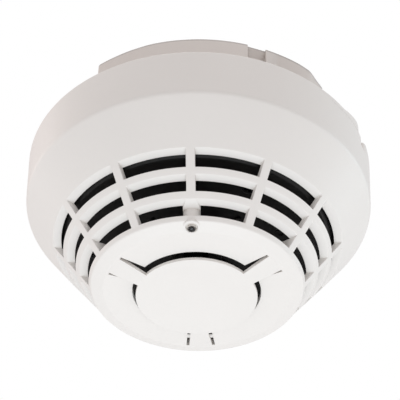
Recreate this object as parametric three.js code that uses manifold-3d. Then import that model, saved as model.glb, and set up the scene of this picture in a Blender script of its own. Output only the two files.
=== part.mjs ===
// Plug-in point heat detector: a ceiling base and a twist-on sensing head.
//
// Units are millimetres and +Z is up. The origin is the centre of the base's flat back, the face that lies
// against the ceiling, so the object hangs down into -Z. Azimuths are in degrees from -Y towards +X; the
// status light is at azimuth 0.
import * as THREE from "three";
import { mergeVertices } from "three/addons/utils/BufferGeometryUtils.js";
import Module from "manifold-3d";

const wasm = await Module();
wasm.setup();

// ---- Driving dimensions -------------------------------------------------------------------------------

const ROUND_STEPS = 48;          // facets around the large mouldings
const SMALL_STEPS = 12;          // facets around screws, rods and holes
const FIT_GAP = 0.3;             // gap between pieces that touch on the real object

// Outer cover, from the rim next to the ceiling down to the guard disc
const RIM_RADIUS = 58.4;
const RIM_TOP = -11;
const RIM_CORNER = -28;          // sharp corner of rim and shoulder, before rounding
const RIM_CORNER_RADIUS = 57.6;
const CORNER_REACH = 1.1;        // how far the rounding reaches along each side of the corner
const GRILLE_TOP_RADIUS = 47.4;
const GRILLE_TOP = -41.45;
const GRILLE_FOOT_RADIUS = 34.75;
const GRILLE_FOOT = -57.55;
const FRONT_CORNER_RADIUS = 34;
const FRONT_CORNER = -59.15;
const FRONT_FACE_RADIUS = 30;
const FRONT_FACE = -60.2;
const COVER_WALL = 2.2;
const FRONT_WALL = 2;

// Grille: three rows of slots between twelve ribs; the light boss stands in for a rib in the last row
const RIB_COUNT = 12;
const RIB_WIDTH = 2.8;
const SLOT_ROWS = [
  { top: -41.45, bottom: -46 },
  { top: -47.75, bottom: -51.75 },
  { top: -53.6, bottom: -57.55, leftOut: 0 },
];

// Guard disc and its three arms
const RING_HOLE_RADIUS = 20.5;
const DISC_RADIUS = 19.4;
const DISC_FACE = -62.4;
const DISC_THICKNESS = 1.1;
const ARM_AZIMUTHS = [60, 180, 300];
const ARM_ROOT_RADIUS = 29.2;
const ARM_TIP_RADIUS = 17;
const ARM_ROOT_HALF_WIDTH = 3.9;
const ARM_TIP_HALF_WIDTH = 2.7;
const SLIT_WIDTH = 0.9;
const SLIT_END_RADIUS = 28.8;
const ARM_WEB = { inner: 30, footOuter: 33, topOuter: 36, top: -54.1 };

// Status light
const LIGHT_RADIUS_FROM_AXIS = 31.9;
const LIGHT_BOSS = { radius: 2.65, top: -49, foot: -59.7 };
const BOSS_WEB = { tip: 37.85, tipTop: 36.3, inner: 33, top: -50, drop: 0.9 };
const LIGHT_BORE_RADIUS = 1.75;
const LIGHT_PIPE_RADIUS = 1.4;
const LIGHT_PIPE_TIP = -60.9;

// Alignment notch and raised mark in the rim's upper edge
const NOTCH = { from: 68.4, to: 73.4, depth: 5.2, cut: 1.15, nearSlope: 2.7, farRounding: 2.4 };
const NOTCH_PAD = { thickness: 1.2, margin: 3 };
const RAISED_MARK = { from: 50, fullFrom: 67, to: 72.8, height: 2.6, setBack: 0.2 };

// Base
const BASE_RADIUS = 49;
const LOBE_RADIUS = 54;
const LOBE_AZIMUTHS = [6, 126, 246];
// Outline of a lobe from end to end, as [degrees from the lobe's centre, radius]; the far end tapers
const LOBE_OUTLINE = [
  [-43.5, 53.7],
  [-34, 53.7],
  [-25, 53.9],
  [-20, 54.1],
  [-8, 54.1],
  [4, 54.2],
  [14, 54.3],
  [24, 54.4],
  [33, 54.6],
  [38, 54.5],
  [43, 53.2],
  [47.5, 52.5],
  [50, 50.6],
];
const LOBE_ROOT_RADIUS = 20;     // how far in a lobe reaches to join the disc
const BASE_BACK_WALL = 2.2;
const BASE_SKIRT_WALL = 2;
const BASE_SKIRT_FOOT = -14.2;
const LEDGE_TOP = -12.4;
const LEDGE_INNER_RADIUS = 47;
const LEDGE_HALF_SPAN = 11.5;
const PILOT_TOP = -1.2;          // blind end of a terminal's screw hole
const PEDESTAL = { from: -6.5, to: 6, margin: 1.4 };
const CABLE_ENTRY = { inner: 11, outer: 22, halfSpan: 52 };
const FIXING_SLOT = { spacing: 60, width: 4.5, length: 10 };

// Lock lever in its window; the recess around it runs out through the edge of the back
const LOCK_AZIMUTH = 22.4;
const LOCK_WIDTH = 5.6;
const LOCK_PIVOT_RADIUS = 50.6;
const LOCK_PIVOT_Z = -7.9;
const LOCK_WINDOW_TOP = -5.7;
const LOCK_PIN_RADIUS = 0.8;
const LEVER = { outer: 52.2, inner: 50.3, foot: -16.4, toothInner: 49.8, toothTop: -15.2 };
const RECESS = { radius: 52.3, lipRadius: 53.5, lipLow: -3, lipHigh: -1.2, padInner: 50.3 };

// Carrier (the head's back cover)
const CARRIER_RADIUS = 54.4;
const CARRIER_TOP = -17;
const CARRIER_PLATE = 2;
const LUG_HALF_SPAN = 8;
const LUG = { inner: 44.2, footOuter: 51, roof: -9.4 };
const LOCK_RING = { inner: 48, outer: 49.4, notchHalfSpan: 4.5 };
const CARRIER_SKIRT = { wall: 1.8, depth: 5 };
const RELEASE_ANGLE = 20;
const HEAD_SCREW_AZIMUTHS = [30, 150, 270];
const HEAD_SCREW_RADIUS_FROM_AXIS = 35;

// Inner parts of the head
const SENSOR_PLATE_RADIUS = 44.3;
const SENSOR_PLATE_FACE = -40.9;
const SENSOR_PLATE_WALL = 1.5;
const PLATE_STEP = { from: 20.5, to: 21.2, drop: 0.7 };
const GUARD_TUBE = { inner: 6.6, outer: 8, foot: -57, windowHalfWidth: 4 };
const PLATE_FLANGE = { inner: 50.6, outer: 52, foot: -31.4, top: -28.6 };
const BOARD_RADIUS = 41;
const BOARD_TOP = -34.9;
const BOARD_THICKNESS = 1.6;

// Terminals
const TERMINAL_AZIMUTHS = [50, 140, 230, 320];
const TERMINAL_RADIUS = 34;
const TERMINAL_STRIP_WIDTH = 6.4;
const TERMINAL_SHEET = 0.8;
const TERMINAL_SEAT = -5.2;      // underside of the pedestal that carries the plate
const TONGUE_Z = -11.8;
const WASHER = { halfSize: 3.6, halfDepth: 2.9, height: 1.3, lip: 0.5 };
const BLADE = { near: 8, legInner: 13.3, legOuter: 14.1, halfWidth: 2.4 };
const SCREW_SHANK_RADIUS = 1.4;

// ---- Materials ----------------------------------------------------------------------------------------

const WHITE_PLASTIC = { color: 0xe9e6e2, roughness: 0.45, metalness: 0 };
const BASE_PLASTIC = { color: 0xd8d0c8, roughness: 0.5, metalness: 0 };
const BLACK_PLASTIC = { color: 0x141312, roughness: 0.25, metalness: 0 };
const CLEAR_PLASTIC = { color: 0xd5d8da, roughness: 0.08, metalness: 0 };
const BRASS = { color: 0xb9975b, roughness: 0.35, metalness: 1 };
const STEEL = { color: 0xb4b6b8, roughness: 0.3, metalness: 1 };
const BLACK_STEEL = { color: 0x232325, roughness: 0.45, metalness: 1 };
const BOARD_GREEN = { color: 0x1f5a38, roughness: 0.5, metalness: 0 };
const CHIP_BLACK = { color: 0x1c1c1e, roughness: 0.6, metalness: 0 };
const SENSOR_EPOXY = { color: 0x5a2f1c, roughness: 0.4, metalness: 0 };

// ---- Solid helpers ------------------------------------------------------------------------------------

const radians = (degrees) => THREE.MathUtils.degToRad(degrees);

/** Point at a radius and azimuth, as [x, y]. */
function polar(radius, azimuth) {
  return [radius * Math.sin(radians(azimuth)), -radius * Math.cos(radians(azimuth))];
}

/** Signed volume of an indexed triangle mesh; negative when its faces point in. */
function signedVolume(vertices, triangles) {
  const a = new THREE.Vector3();
  const b = new THREE.Vector3();
  const c = new THREE.Vector3();
  let sixfold = 0;
  for (let i = 0; i < triangles.length; i += 3) {
    a.fromArray(vertices, triangles[i] * 3);
    b.fromArray(vertices, triangles[i + 1] * 3);
    c.fromArray(vertices, triangles[i + 2] * 3);
    sixfold += a.dot(b.cross(c));
  }
  return sixfold / 6;
}

/** Turn a closed three.js geometry into a solid that can be joined and cut. */
function toSolid(geometry) {
  const bare = geometry.clone();
  bare.deleteAttribute("normal");
  bare.deleteAttribute("uv");
  const merged = mergeVertices(bare, 1e-4);
  const vertProperties = Float32Array.from(merged.attributes.position.array);
  const kept = [];
  const index = merged.index.array;
  for (let i = 0; i < index.length; i += 3) {
    const [a, b, c] = [index[i], index[i + 1], index[i + 2]];
    if (a !== b && b !== c && c !== a) kept.push(a, b, c);
  }
  const triVerts = Uint32Array.from(kept);
  if (signedVolume(vertProperties, triVerts) < 0) triVerts.reverse();
  return new wasm.Manifold(new wasm.Mesh({ numProp: 3, vertProperties, triVerts }));
}

/** Turn a solid back into a three.js geometry. */
function toGeometry(solid) {
  const mesh = solid.getMesh();
  const geometry = new THREE.BufferGeometry();
  geometry.setAttribute("position", new THREE.BufferAttribute(mesh.vertProperties, 3));
  geometry.setIndex(new THREE.BufferAttribute(mesh.triVerts, 1));
  const flat = geometry.toNonIndexed();
  flat.computeVertexNormals();
  return flat;
}

/** Join a list of solids. */
function join(solids) {
  return solids.reduce((sum, solid) => sum.add(solid));
}

/** Solid of revolution about Z from a closed [radius, z] profile. */
function turned(profile, steps = ROUND_STEPS) {
  const points = [...profile, profile[0]].map(([radius, z]) => new THREE.Vector2(radius, z));
  return toSolid(new THREE.LatheGeometry(points, steps).rotateX(Math.PI / 2));
}

/** Upright cylinder or cone between two heights, centred at x, y. */
function rod(radius, low, high, x = 0, y = 0, topRadius = radius, steps = SMALL_STEPS) {
  const geometry = new THREE.CylinderGeometry(topRadius, radius, high - low, steps);
  return toSolid(geometry.rotateX(Math.PI / 2).translate(x, y, (low + high) / 2));
}

/** Box between two corners, turned about Z to an azimuth: u is radial, v is tangential, z is up. */
function block(low, high, azimuth = 0) {
  const size = high.map((value, i) => value - low[i]);
  const middle = high.map((value, i) => (value + low[i]) / 2);
  const geometry = new THREE.BoxGeometry(...size).translate(...middle);
  return toSolid(geometry.rotateZ(radians(azimuth - 90)));
}

/** Part of a ring between two azimuths. */
function sector(inner, outer, low, high, from, to) {
  const start = radians(from - 90);
  const end = radians(to - 90);
  const shape = new THREE.Shape();
  shape.absarc(0, 0, outer, start, end, false);
  shape.absarc(0, 0, inner, end, start, true);
  const steps = Math.max(2, Math.ceil(Math.abs(to - from) / (360 / ROUND_STEPS)));
  const options = { depth: high - low, bevelEnabled: false, curveSegments: steps };
  return toSolid(new THREE.ExtrudeGeometry(shape, options).translate(0, 0, low));
}

/** Flat outline of [u, v] points extruded between two heights and turned to an azimuth. */
function slab(points, low, high, azimuth) {
  const shape = new THREE.Shape(points.map(([u, v]) => new THREE.Vector2(u, v)));
  const geometry = new THREE.ExtrudeGeometry(shape, { depth: high - low, bevelEnabled: false });
  return toSolid(geometry.translate(0, 0, low).rotateZ(radians(azimuth - 90)));
}

/** Flat outline of [radius, azimuth] points extruded between two heights. */
function polarSlab(points, low, high) {
  const corners = points.map(([radius, azimuth]) => new THREE.Vector2(...polar(radius, azimuth)));
  const options = { depth: high - low, bevelEnabled: false };
  return toSolid(new THREE.ExtrudeGeometry(new THREE.Shape(corners), options).translate(0, 0, low));
}

/** Side outline of [v, z] points extruded along the radius between u = from and u = to. */
function strip(points, from, to, azimuth) {
  const shape = new THREE.Shape(points.map(([v, z]) => new THREE.Vector2(v, z)));
  const geometry = new THREE.ExtrudeGeometry(shape, { depth: to - from, bevelEnabled: false });
  // The outline's x becomes v, its y becomes z and its depth becomes u.
  const turn = new THREE.Matrix4().makeBasis(
    new THREE.Vector3(0, 1, 0), new THREE.Vector3(0, 0, 1), new THREE.Vector3(1, 0, 0));
  geometry.applyMatrix4(turn).translate(from, 0, 0);
  return toSolid(geometry.rotateZ(radians(azimuth - 90)));
}

/** Side outline of [u, z] points extruded across the radius between v = -halfWidth and v = halfWidth. */
function fin(points, halfWidth, azimuth) {
  const shape = new THREE.Shape(points.map(([u, z]) => new THREE.Vector2(u, z)));
  const geometry = new THREE.ExtrudeGeometry(shape, { depth: 2 * halfWidth, bevelEnabled: false });
  geometry.rotateX(Math.PI / 2).translate(0, halfWidth, 0);
  return toSolid(geometry.rotateZ(radians(azimuth - 90)));
}

const detector = new THREE.Group();

/** Add one named piece to the object. */
function addPiece(name, solid, look) {
  const mesh = new THREE.Mesh(toGeometry(solid), new THREE.MeshStandardMaterial(look));
  mesh.name = name;
  detector.add(mesh);
}

// ---- Outer cover --------------------------------------------------------------------------------------

/** Points of the rounded corner between the rim's side and the shoulder. */
function cornerArc() {
  const corner = new THREE.Vector2(RIM_CORNER_RADIUS, RIM_CORNER);
  const towards = (radius, z) =>
    new THREE.Vector2(radius, z).sub(corner).setLength(CORNER_REACH).add(corner);
  const curve = new THREE.QuadraticBezierCurve(
    towards(RIM_RADIUS, RIM_TOP), corner, towards(GRILLE_TOP_RADIUS, GRILLE_TOP));
  return curve.getPoints(2).map((point) => [point.x, point.y]);
}

/** Shell of the cover, without slots or arms. */
function coverShell() {
  const grilleInset = COVER_WALL / Math.sin(Math.atan2(GRILLE_TOP - GRILLE_FOOT,
    GRILLE_TOP_RADIUS - GRILLE_FOOT_RADIUS));
  const innerFace = FRONT_FACE + FRONT_WALL;
  return turned([
    [RIM_RADIUS, RIM_TOP],
    ...cornerArc(),
    [GRILLE_TOP_RADIUS, GRILLE_TOP],
    [GRILLE_FOOT_RADIUS, GRILLE_FOOT],
    [FRONT_CORNER_RADIUS, FRONT_CORNER],
    [FRONT_FACE_RADIUS, FRONT_FACE],
    [RING_HOLE_RADIUS, FRONT_FACE],
    [RING_HOLE_RADIUS, innerFace],
    [GRILLE_FOOT_RADIUS - grilleInset - 0.4, innerFace],
    [GRILLE_TOP_RADIUS - grilleInset, GRILLE_TOP],
    [RIM_RADIUS - COVER_WALL, RIM_CORNER + 0.9],
    [RIM_RADIUS - COVER_WALL, RIM_TOP],
  ]);
}

/** Everything that is cut away between the ribs, for one row of slots. */
function slotRow({ top, bottom, leftOut }) {
  const inner = GRILLE_FOOT_RADIUS - 3 * COVER_WALL;
  const outer = GRILLE_TOP_RADIUS + 3 * COVER_WALL;
  const half = RIB_WIDTH / 2;
  const ring = turned([[inner, bottom], [outer, bottom], [outer, top], [inner, top]]);
  const numbers = Array.from({ length: RIB_COUNT }, (_, i) => i).filter((i) => i !== leftOut);
  const ribs = numbers.map((i) =>
    block([inner - 5, -half, bottom - 1], [outer + 5, half, top + 1], (i * 360) / RIB_COUNT));
  return ring.subtract(join(ribs));
}

/** One sloping arm, from the front ring down to the guard disc. */
function guardArm(azimuth) {
  const tipRoof = DISC_FACE + DISC_THICKNESS;
  const rootRoof = FRONT_FACE + DISC_THICKNESS + 0.3;
  const bar = fin([
    [ARM_TIP_RADIUS, DISC_FACE],
    [DISC_RADIUS, DISC_FACE],
    [ARM_ROOT_RADIUS, FRONT_FACE],
    [ARM_ROOT_RADIUS, rootRoof],
    [DISC_RADIUS, tipRoof],
    [ARM_TIP_RADIUS, tipRoof],
  ], 6, azimuth);
  const outline = slab([
    [ARM_TIP_RADIUS, -ARM_TIP_HALF_WIDTH],
    [ARM_ROOT_RADIUS, -ARM_ROOT_HALF_WIDTH],
    [ARM_ROOT_RADIUS, ARM_ROOT_HALF_WIDTH],
    [ARM_TIP_RADIUS, ARM_TIP_HALF_WIDTH],
  ], DISC_FACE - 1, FRONT_FACE + 4, azimuth);
  return bar.intersect(outline);
}

/** The hole in the front ring that leaves a slit on each side of an arm. */
function armWindow(azimuth) {
  return slab([
    [ARM_TIP_RADIUS, -ARM_TIP_HALF_WIDTH - SLIT_WIDTH],
    [SLIT_END_RADIUS, -ARM_ROOT_HALF_WIDTH - SLIT_WIDTH],
    [SLIT_END_RADIUS, ARM_ROOT_HALF_WIDTH + SLIT_WIDTH],
    [ARM_TIP_RADIUS, ARM_TIP_HALF_WIDTH + SLIT_WIDTH],
  ], FRONT_FACE - 1, FRONT_FACE + FRONT_WALL + 1, azimuth);
}

/** Web behind the grille's foot where an arm is rooted. */
function armWeb(azimuth) {
  const foot = FRONT_FACE + FRONT_WALL - 0.5;
  return fin([
    [ARM_WEB.inner, foot],
    [ARM_WEB.footOuter, foot],
    [ARM_WEB.topOuter, ARM_WEB.top],
    [ARM_WEB.inner, ARM_WEB.top],
  ], RIB_WIDTH / 2, azimuth);
}

/** Upright boss around the light pipe, with the flared web that ties it to the rib above. */
function lightBoss() {
  const { radius, foot, top } = LIGHT_BOSS;
  const column = rod(radius, foot, top, 0, -LIGHT_RADIUS_FROM_AXIS, radius, 24);
  const slatFoot = SLOT_ROWS[2].top;
  const columnFront = LIGHT_RADIUS_FROM_AXIS + radius;
  const side = fin([
    [BOSS_WEB.tip, slatFoot],
    [columnFront, slatFoot - BOSS_WEB.drop],
    [BOSS_WEB.inner, slatFoot - BOSS_WEB.drop],
    [BOSS_WEB.inner, BOSS_WEB.top],
    [BOSS_WEB.tipTop, BOSS_WEB.top],
  ], radius + 1, 0);
  const flare = slab([
    [BOSS_WEB.inner, -radius],
    [columnFront, -radius],
    [BOSS_WEB.tip, -RIB_WIDTH / 2],
    [BOSS_WEB.tip, RIB_WIDTH / 2],
    [columnFront, radius],
    [BOSS_WEB.inner, radius],
  ], foot, top, 0);
  return column.add(side.intersect(flare));
}

/** Alignment notch cut down into the rim's edge: a gentle slope, a square step and a round far end. */
function alignmentNotch() {
  const floor = RIM_RADIUS - NOTCH.cut;
  const outside = RIM_RADIUS + 1;
  const near = [[RIM_RADIUS, NOTCH.from - NOTCH.nearSlope], [RIM_RADIUS - 0.5, NOTCH.from]];
  const roundOff = [0, 22.5, 45, 67.5, 90].map((angle) => [
    floor + NOTCH.cut * Math.sin(radians(angle)),
    NOTCH.to + NOTCH.farRounding * (1 - Math.cos(radians(angle))),
  ]);
  const end = NOTCH.to + NOTCH.farRounding;
  const outline = [...near, [floor, NOTCH.from], ...roundOff, [outside, end],
    [outside, NOTCH.from - NOTCH.nearSlope]];
  return polarSlab(outline, RIM_TOP - NOTCH.depth, RIM_TOP + RAISED_MARK.height + 1);
}

/** Thicker wall behind the notch. */
function notchPad() {
  const inside = RIM_RADIUS - COVER_WALL;
  return sector(inside - NOTCH_PAD.thickness, inside + 0.2, RIM_TOP - NOTCH.depth - 2, RIM_TOP,
    NOTCH.from - NOTCH_PAD.margin, NOTCH.to + NOTCH_PAD.margin);
}

/** Mark that rises gently out of the rim's edge and stands behind the notch too. */
function raisedMark() {
  const { from, fullFrom, to, height, setBack } = RAISED_MARK;
  const inside = RIM_RADIUS - COVER_WALL + setBack;
  const middle = (from + to) / 2;
  const across = (azimuth) => RIM_RADIUS * Math.sin(radians(azimuth - middle));
  const foot = RIM_TOP - 1;
  const rise = Array.from({ length: 9 }, (_, i) => {
    const share = i / 8;
    const climb = THREE.MathUtils.smoothstep(share, 0, 1);
    return [across(from + share * (fullFrom - from)), RIM_TOP - 0.2 + (height + 0.2) * climb];
  });
  const end = [[across(to), RIM_TOP + height], [across(to), foot]];
  const ramp = strip([[across(from), foot], ...rise, ...end].reverse(), inside - 3, RIM_RADIUS + 1, middle);
  return ramp.intersect(sector(inside, RIM_RADIUS, foot, RIM_TOP + height + 1, from, to));
}

function outerCover() {
  let cover = coverShell();
  for (const row of SLOT_ROWS) cover = cover.subtract(slotRow(row));
  for (const azimuth of ARM_AZIMUTHS) cover = cover.add(armWeb(azimuth));
  for (const azimuth of ARM_AZIMUTHS) cover = cover.subtract(armWindow(azimuth));
  const disc = rod(DISC_RADIUS, DISC_FACE, DISC_FACE + DISC_THICKNESS, 0, 0, DISC_RADIUS, ROUND_STEPS);
  cover = cover.add(join([disc, ...ARM_AZIMUTHS.map(guardArm)]));

  const bore = rod(LIGHT_BORE_RADIUS, FRONT_FACE - 2, LIGHT_BOSS.top + 1, 0, -LIGHT_RADIUS_FROM_AXIS,
    LIGHT_BORE_RADIUS, 24);
  cover = cover.add(lightBoss()).subtract(bore);
  return cover.add(notchPad()).add(raisedMark()).subtract(alignmentNotch());
}

// ---- Base ---------------------------------------------------------------------------------------------

/** One lobe of the base's outline, shrunk by an inset. */
function lobe(inset, low, high, azimuth) {
  const insetAngle = THREE.MathUtils.radToDeg(inset / LOBE_RADIUS);
  const last = LOBE_OUTLINE.length - 1;
  const edge = LOBE_OUTLINE.map(([offset, radius], i) => {
    const trim = (i === 0 ? insetAngle : 0) - (i === last ? insetAngle : 0);
    return [radius - inset, azimuth + offset + trim];
  });
  const root = [edge[last], edge[0]].map(([, angle]) => [LOBE_ROOT_RADIUS, angle]);
  return polarSlab([...edge, ...root], low, high);
}

/** The base's outline as a disc with three lobes, shrunk by an inset, between two heights. */
function baseOutline(inset, low, high) {
  const core = rod(BASE_RADIUS - inset, low, high, 0, 0, BASE_RADIUS - inset, ROUND_STEPS);
  return join([core, ...LOBE_AZIMUTHS.map((azimuth) => lobe(inset, low, high, azimuth))]);
}

/** One bayonet ledge with the stop that ends the head's travel. */
function bayonetLedge(azimuth) {
  const outer = LOBE_RADIUS - BASE_SKIRT_WALL + 0.7;
  const ledge = sector(LEDGE_INNER_RADIUS, outer, BASE_SKIRT_FOOT, LEDGE_TOP,
    azimuth - LEDGE_HALF_SPAN, azimuth + LEDGE_HALF_SPAN);
  const stop = sector(LEDGE_INNER_RADIUS, outer, LEDGE_TOP - 0.2, -1,
    azimuth + LUG_HALF_SPAN + 1, azimuth + LEDGE_HALF_SPAN);
  return ledge.add(stop);
}

/** Moulded pedestal with the pilot hole for one terminal. */
function terminalPedestal(azimuth) {
  const halfWidth = TERMINAL_STRIP_WIDTH / 2 + PEDESTAL.margin;
  return block([TERMINAL_RADIUS - halfWidth, PEDESTAL.from, TERMINAL_SEAT],
    [TERMINAL_RADIUS + halfWidth, PEDESTAL.to, -BASE_BACK_WALL / 2], azimuth);
}

/** Two low walls beside a terminal plate that keep it from turning. */
function terminalWalls(azimuth) {
  const inner = TERMINAL_STRIP_WIDTH / 2 + FIT_GAP;
  return [-1, 1].map((side) => {
    const [near, far] = [side * inner, side * (inner + 1.1)].sort((a, b) => a - b);
    return block([TERMINAL_RADIUS + near, PEDESTAL.from, TERMINAL_SEAT - 1.6],
      [TERMINAL_RADIUS + far, PEDESTAL.to, TERMINAL_SEAT + 0.2], azimuth);
  });
}

/** Slotted screw hole through the back, with its long side along X. */
function fixingSlot(side) {
  const x = (side * FIXING_SLOT.spacing) / 2;
  const reach = (FIXING_SLOT.length - FIXING_SLOT.width) / 2;
  const radius = FIXING_SLOT.width / 2;
  const low = -BASE_BACK_WALL - 1;
  const ends = [-reach, reach].map((offset) => rod(radius, low, 1, x + offset, 0));
  const middle = block([-radius, x - reach, low], [radius, x + reach, 1]);
  return join([...ends, middle]);
}

/** Lugs that carry the lock lever's pin. */
function lockLugs() {
  return [-1, 1].map((side) => {
    const [near, far] = [side * (LOCK_WIDTH / 2 + FIT_GAP), side * (LOCK_WIDTH / 2 + 1.8)]
      .sort((a, b) => a - b);
    return block([LOCK_PIVOT_RADIUS - 2.6, near, LOCK_PIVOT_Z - 2.2],
      [LOBE_RADIUS - BASE_SKIRT_WALL + 0.8, far, -BASE_BACK_WALL / 2], LOCK_AZIMUTH);
  });
}

/** Shallow recess outside the lever, with a sloping lip up to the edge of the back. */
function lockRecess() {
  const outside = LOBE_RADIUS + 3;
  return fin([
    [RECESS.radius, BASE_SKIRT_FOOT - 1],
    [outside, BASE_SKIRT_FOOT - 1],
    [outside, 1],
    [RECESS.lipRadius, 1],
    [RECESS.lipRadius, RECESS.lipHigh],
    [RECESS.radius, RECESS.lipLow],
  ], LOCK_WIDTH / 2 + FIT_GAP, LOCK_AZIMUTH);
}

/** Thicker wall behind the recess, above the lever's window. */
function recessPad() {
  const half = LOCK_WIDTH / 2 + 1.5;
  return block([RECESS.padInner, -half, LOCK_WINDOW_TOP],
    [LOBE_RADIUS - BASE_SKIRT_WALL + 0.8, half, -BASE_BACK_WALL / 2], LOCK_AZIMUTH);
}

/** Cylinder lying across the radius at the lock lever's pivot. */
function lockAxle(radius, halfLength) {
  const geometry = new THREE.CylinderGeometry(radius, radius, 2 * halfLength, SMALL_STEPS);
  geometry.translate(LOCK_PIVOT_RADIUS, 0, LOCK_PIVOT_Z);
  return toSolid(geometry.rotateZ(radians(LOCK_AZIMUTH - 90)));
}

function baseHousing() {
  let base = baseOutline(0, BASE_SKIRT_FOOT, 0);
  base = base.subtract(baseOutline(BASE_SKIRT_WALL, BASE_SKIRT_FOOT - 1, -BASE_BACK_WALL));
  base = base.add(join(LOBE_AZIMUTHS.map(bayonetLedge)));
  base = base.add(join(TERMINAL_AZIMUTHS.map(terminalPedestal)));
  base = base.add(join(TERMINAL_AZIMUTHS.flatMap(terminalWalls)));
  for (const azimuth of TERMINAL_AZIMUTHS) {
    const [x, y] = polar(TERMINAL_RADIUS, azimuth);
    base = base.subtract(rod(SCREW_SHANK_RADIUS + FIT_GAP, TERMINAL_SEAT - 1, PILOT_TOP, x, y));
  }
  for (const centre of [0, 180]) {
    base = base.subtract(sector(CABLE_ENTRY.inner, CABLE_ENTRY.outer, -BASE_BACK_WALL - 1, 1,
      centre - CABLE_ENTRY.halfSpan, centre + CABLE_ENTRY.halfSpan));
  }
  for (const side of [-1, 1]) base = base.subtract(fixingSlot(side));
  const window = block([BASE_RADIUS - 4, -LOCK_WIDTH / 2 - FIT_GAP, BASE_SKIRT_FOOT - 1],
    [LOBE_RADIUS + 1, LOCK_WIDTH / 2 + FIT_GAP, LOCK_WINDOW_TOP], LOCK_AZIMUTH);
  base = base.add(recessPad()).subtract(window).subtract(lockRecess()).add(join(lockLugs()));
  return base.subtract(lockAxle(LOCK_PIN_RADIUS + FIT_GAP, LOCK_WIDTH / 2 + 1.3));
}

/** Lever in the skirt window; its tooth swings in towards the carrier's notched ring. */
function lockLever() {
  const top = LOCK_PIVOT_Z + 1.6;
  const eyeInner = LOCK_PIVOT_RADIUS - 1.7;
  const blade = fin([
    [LEVER.inner, LEVER.foot],
    [LEVER.outer - 0.4, LEVER.foot],
    [LEVER.outer, LEVER.foot + 1],
    [LEVER.outer, top - 0.8],
    [LEVER.outer - 0.6, top],
    [eyeInner, top],
    [eyeInner, LOCK_PIVOT_Z - 1.6],
    [LEVER.inner, LOCK_PIVOT_Z - 3],
  ], LOCK_WIDTH / 2, LOCK_AZIMUTH);
  const tooth = fin([
    [LEVER.toothInner, LEVER.toothTop],
    [LEVER.toothInner, LEVER.foot],
    [LEVER.inner + 0.4, LEVER.foot],
    [LEVER.inner + 0.4, LEVER.toothTop + 0.8],
  ], LOCK_WIDTH / 2 - 0.8, LOCK_AZIMUTH);
  return blade.add(tooth).subtract(lockAxle(LOCK_PIN_RADIUS + FIT_GAP, LOCK_WIDTH));
}

// ---- Terminals ----------------------------------------------------------------------------------------

/** Plate under the screw that steps down to the spring tongue for the head's contact. */
function terminalPlate(azimuth) {
  const top = TERMINAL_SEAT - FIT_GAP;
  const low = top - TERMINAL_SHEET;
  const from = TERMINAL_RADIUS - TERMINAL_STRIP_WIDTH / 2;
  const plate = strip([
    [-5.6, low],
    [6.4, low],
    [6.4, TONGUE_Z],
    [15, TONGUE_Z],
    [16.2, TONGUE_Z + 0.9],
    [15.6, TONGUE_Z + 1.4],
    [14.8, TONGUE_Z + TERMINAL_SHEET],
    [6.4 + TERMINAL_SHEET, TONGUE_Z + TERMINAL_SHEET],
    [6.4 + TERMINAL_SHEET, top],
    [-5.6, top],
  ], from, from + TERMINAL_STRIP_WIDTH, azimuth);
  const [x, y] = polar(TERMINAL_RADIUS, azimuth);
  return plate.subtract(rod(SCREW_SHANK_RADIUS + FIT_GAP, low - 1, top + 1, x, y));
}

/** Square washer with turned-up ends that grips the wires. */
function clampWasher(azimuth) {
  const top = TERMINAL_SEAT - 2 * FIT_GAP - TERMINAL_SHEET;
  const lipFoot = WASHER.halfSize - 0.6;
  const body = strip([
    [-WASHER.halfSize, top],
    [-WASHER.halfSize, top - WASHER.height],
    [WASHER.halfSize, top - WASHER.height],
    [WASHER.halfSize, top],
    [lipFoot, top - WASHER.lip],
    [-lipFoot, top - WASHER.lip],
  ], TERMINAL_RADIUS - WASHER.halfDepth, TERMINAL_RADIUS + WASHER.halfDepth, azimuth);
  const [x, y] = polar(TERMINAL_RADIUS, azimuth);
  return body.subtract(rod(SCREW_SHANK_RADIUS + FIT_GAP, top - 2, top + 1, x, y));
}

/** Slotted screw with a tapered head, pointing up. */
function screw({ x, y, headFoot, headRadius, headHeight, tip }) {
  const headTop = headFoot + headHeight;
  const head = rod(headRadius * 0.8, headFoot, headTop, x, y, headRadius);
  const shank = rod(SCREW_SHANK_RADIUS, headTop - 0.2, tip, x, y);
  const slot = new THREE.BoxGeometry(2 * headRadius + 1, 0.9, headHeight).translate(x, y, headFoot);
  return head.add(shank).subtract(toSolid(slot));
}

function terminalScrew(azimuth) {
  const [x, y] = polar(TERMINAL_RADIUS, azimuth);
  const headTop = TERMINAL_SEAT - 3 * FIT_GAP - TERMINAL_SHEET - WASHER.height;
  return screw({ x, y, headFoot: headTop - 1.8, headRadius: 2.8, headHeight: 1.8, tip: -2 });
}

// ---- Carrier and contacts -----------------------------------------------------------------------------

/** Bayonet lug: a post with a foot that lies above the base's ledge. */
function bayonetLug(azimuth) {
  const [from, to] = [azimuth - LUG_HALF_SPAN, azimuth + LUG_HALF_SPAN];
  const post = sector(LUG.inner, LEDGE_INNER_RADIUS - 0.4, CARRIER_TOP - 0.5, LUG.roof, from, to);
  const foot = sector(LUG.inner, LUG.footOuter, LEDGE_TOP + 0.4, LUG.roof, from, to);
  return post.add(foot);
}

/** Post under the carrier that takes a head screw. */
function screwPost(azimuth) {
  const [x, y] = polar(HEAD_SCREW_RADIUS_FROM_AXIS, azimuth);
  return rod(3.4, BOARD_TOP + FIT_GAP, CARRIER_TOP - 1, x, y);
}

/** Slot that lets a contact blade's leg through the carrier. */
function bladeSlot(azimuth) {
  const half = TERMINAL_STRIP_WIDTH / 2;
  return block([TERMINAL_RADIUS - half, BLADE.legInner - FIT_GAP, CARRIER_TOP - 4],
    [TERMINAL_RADIUS + half, BLADE.legOuter + FIT_GAP, CARRIER_TOP + 1], azimuth);
}

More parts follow.
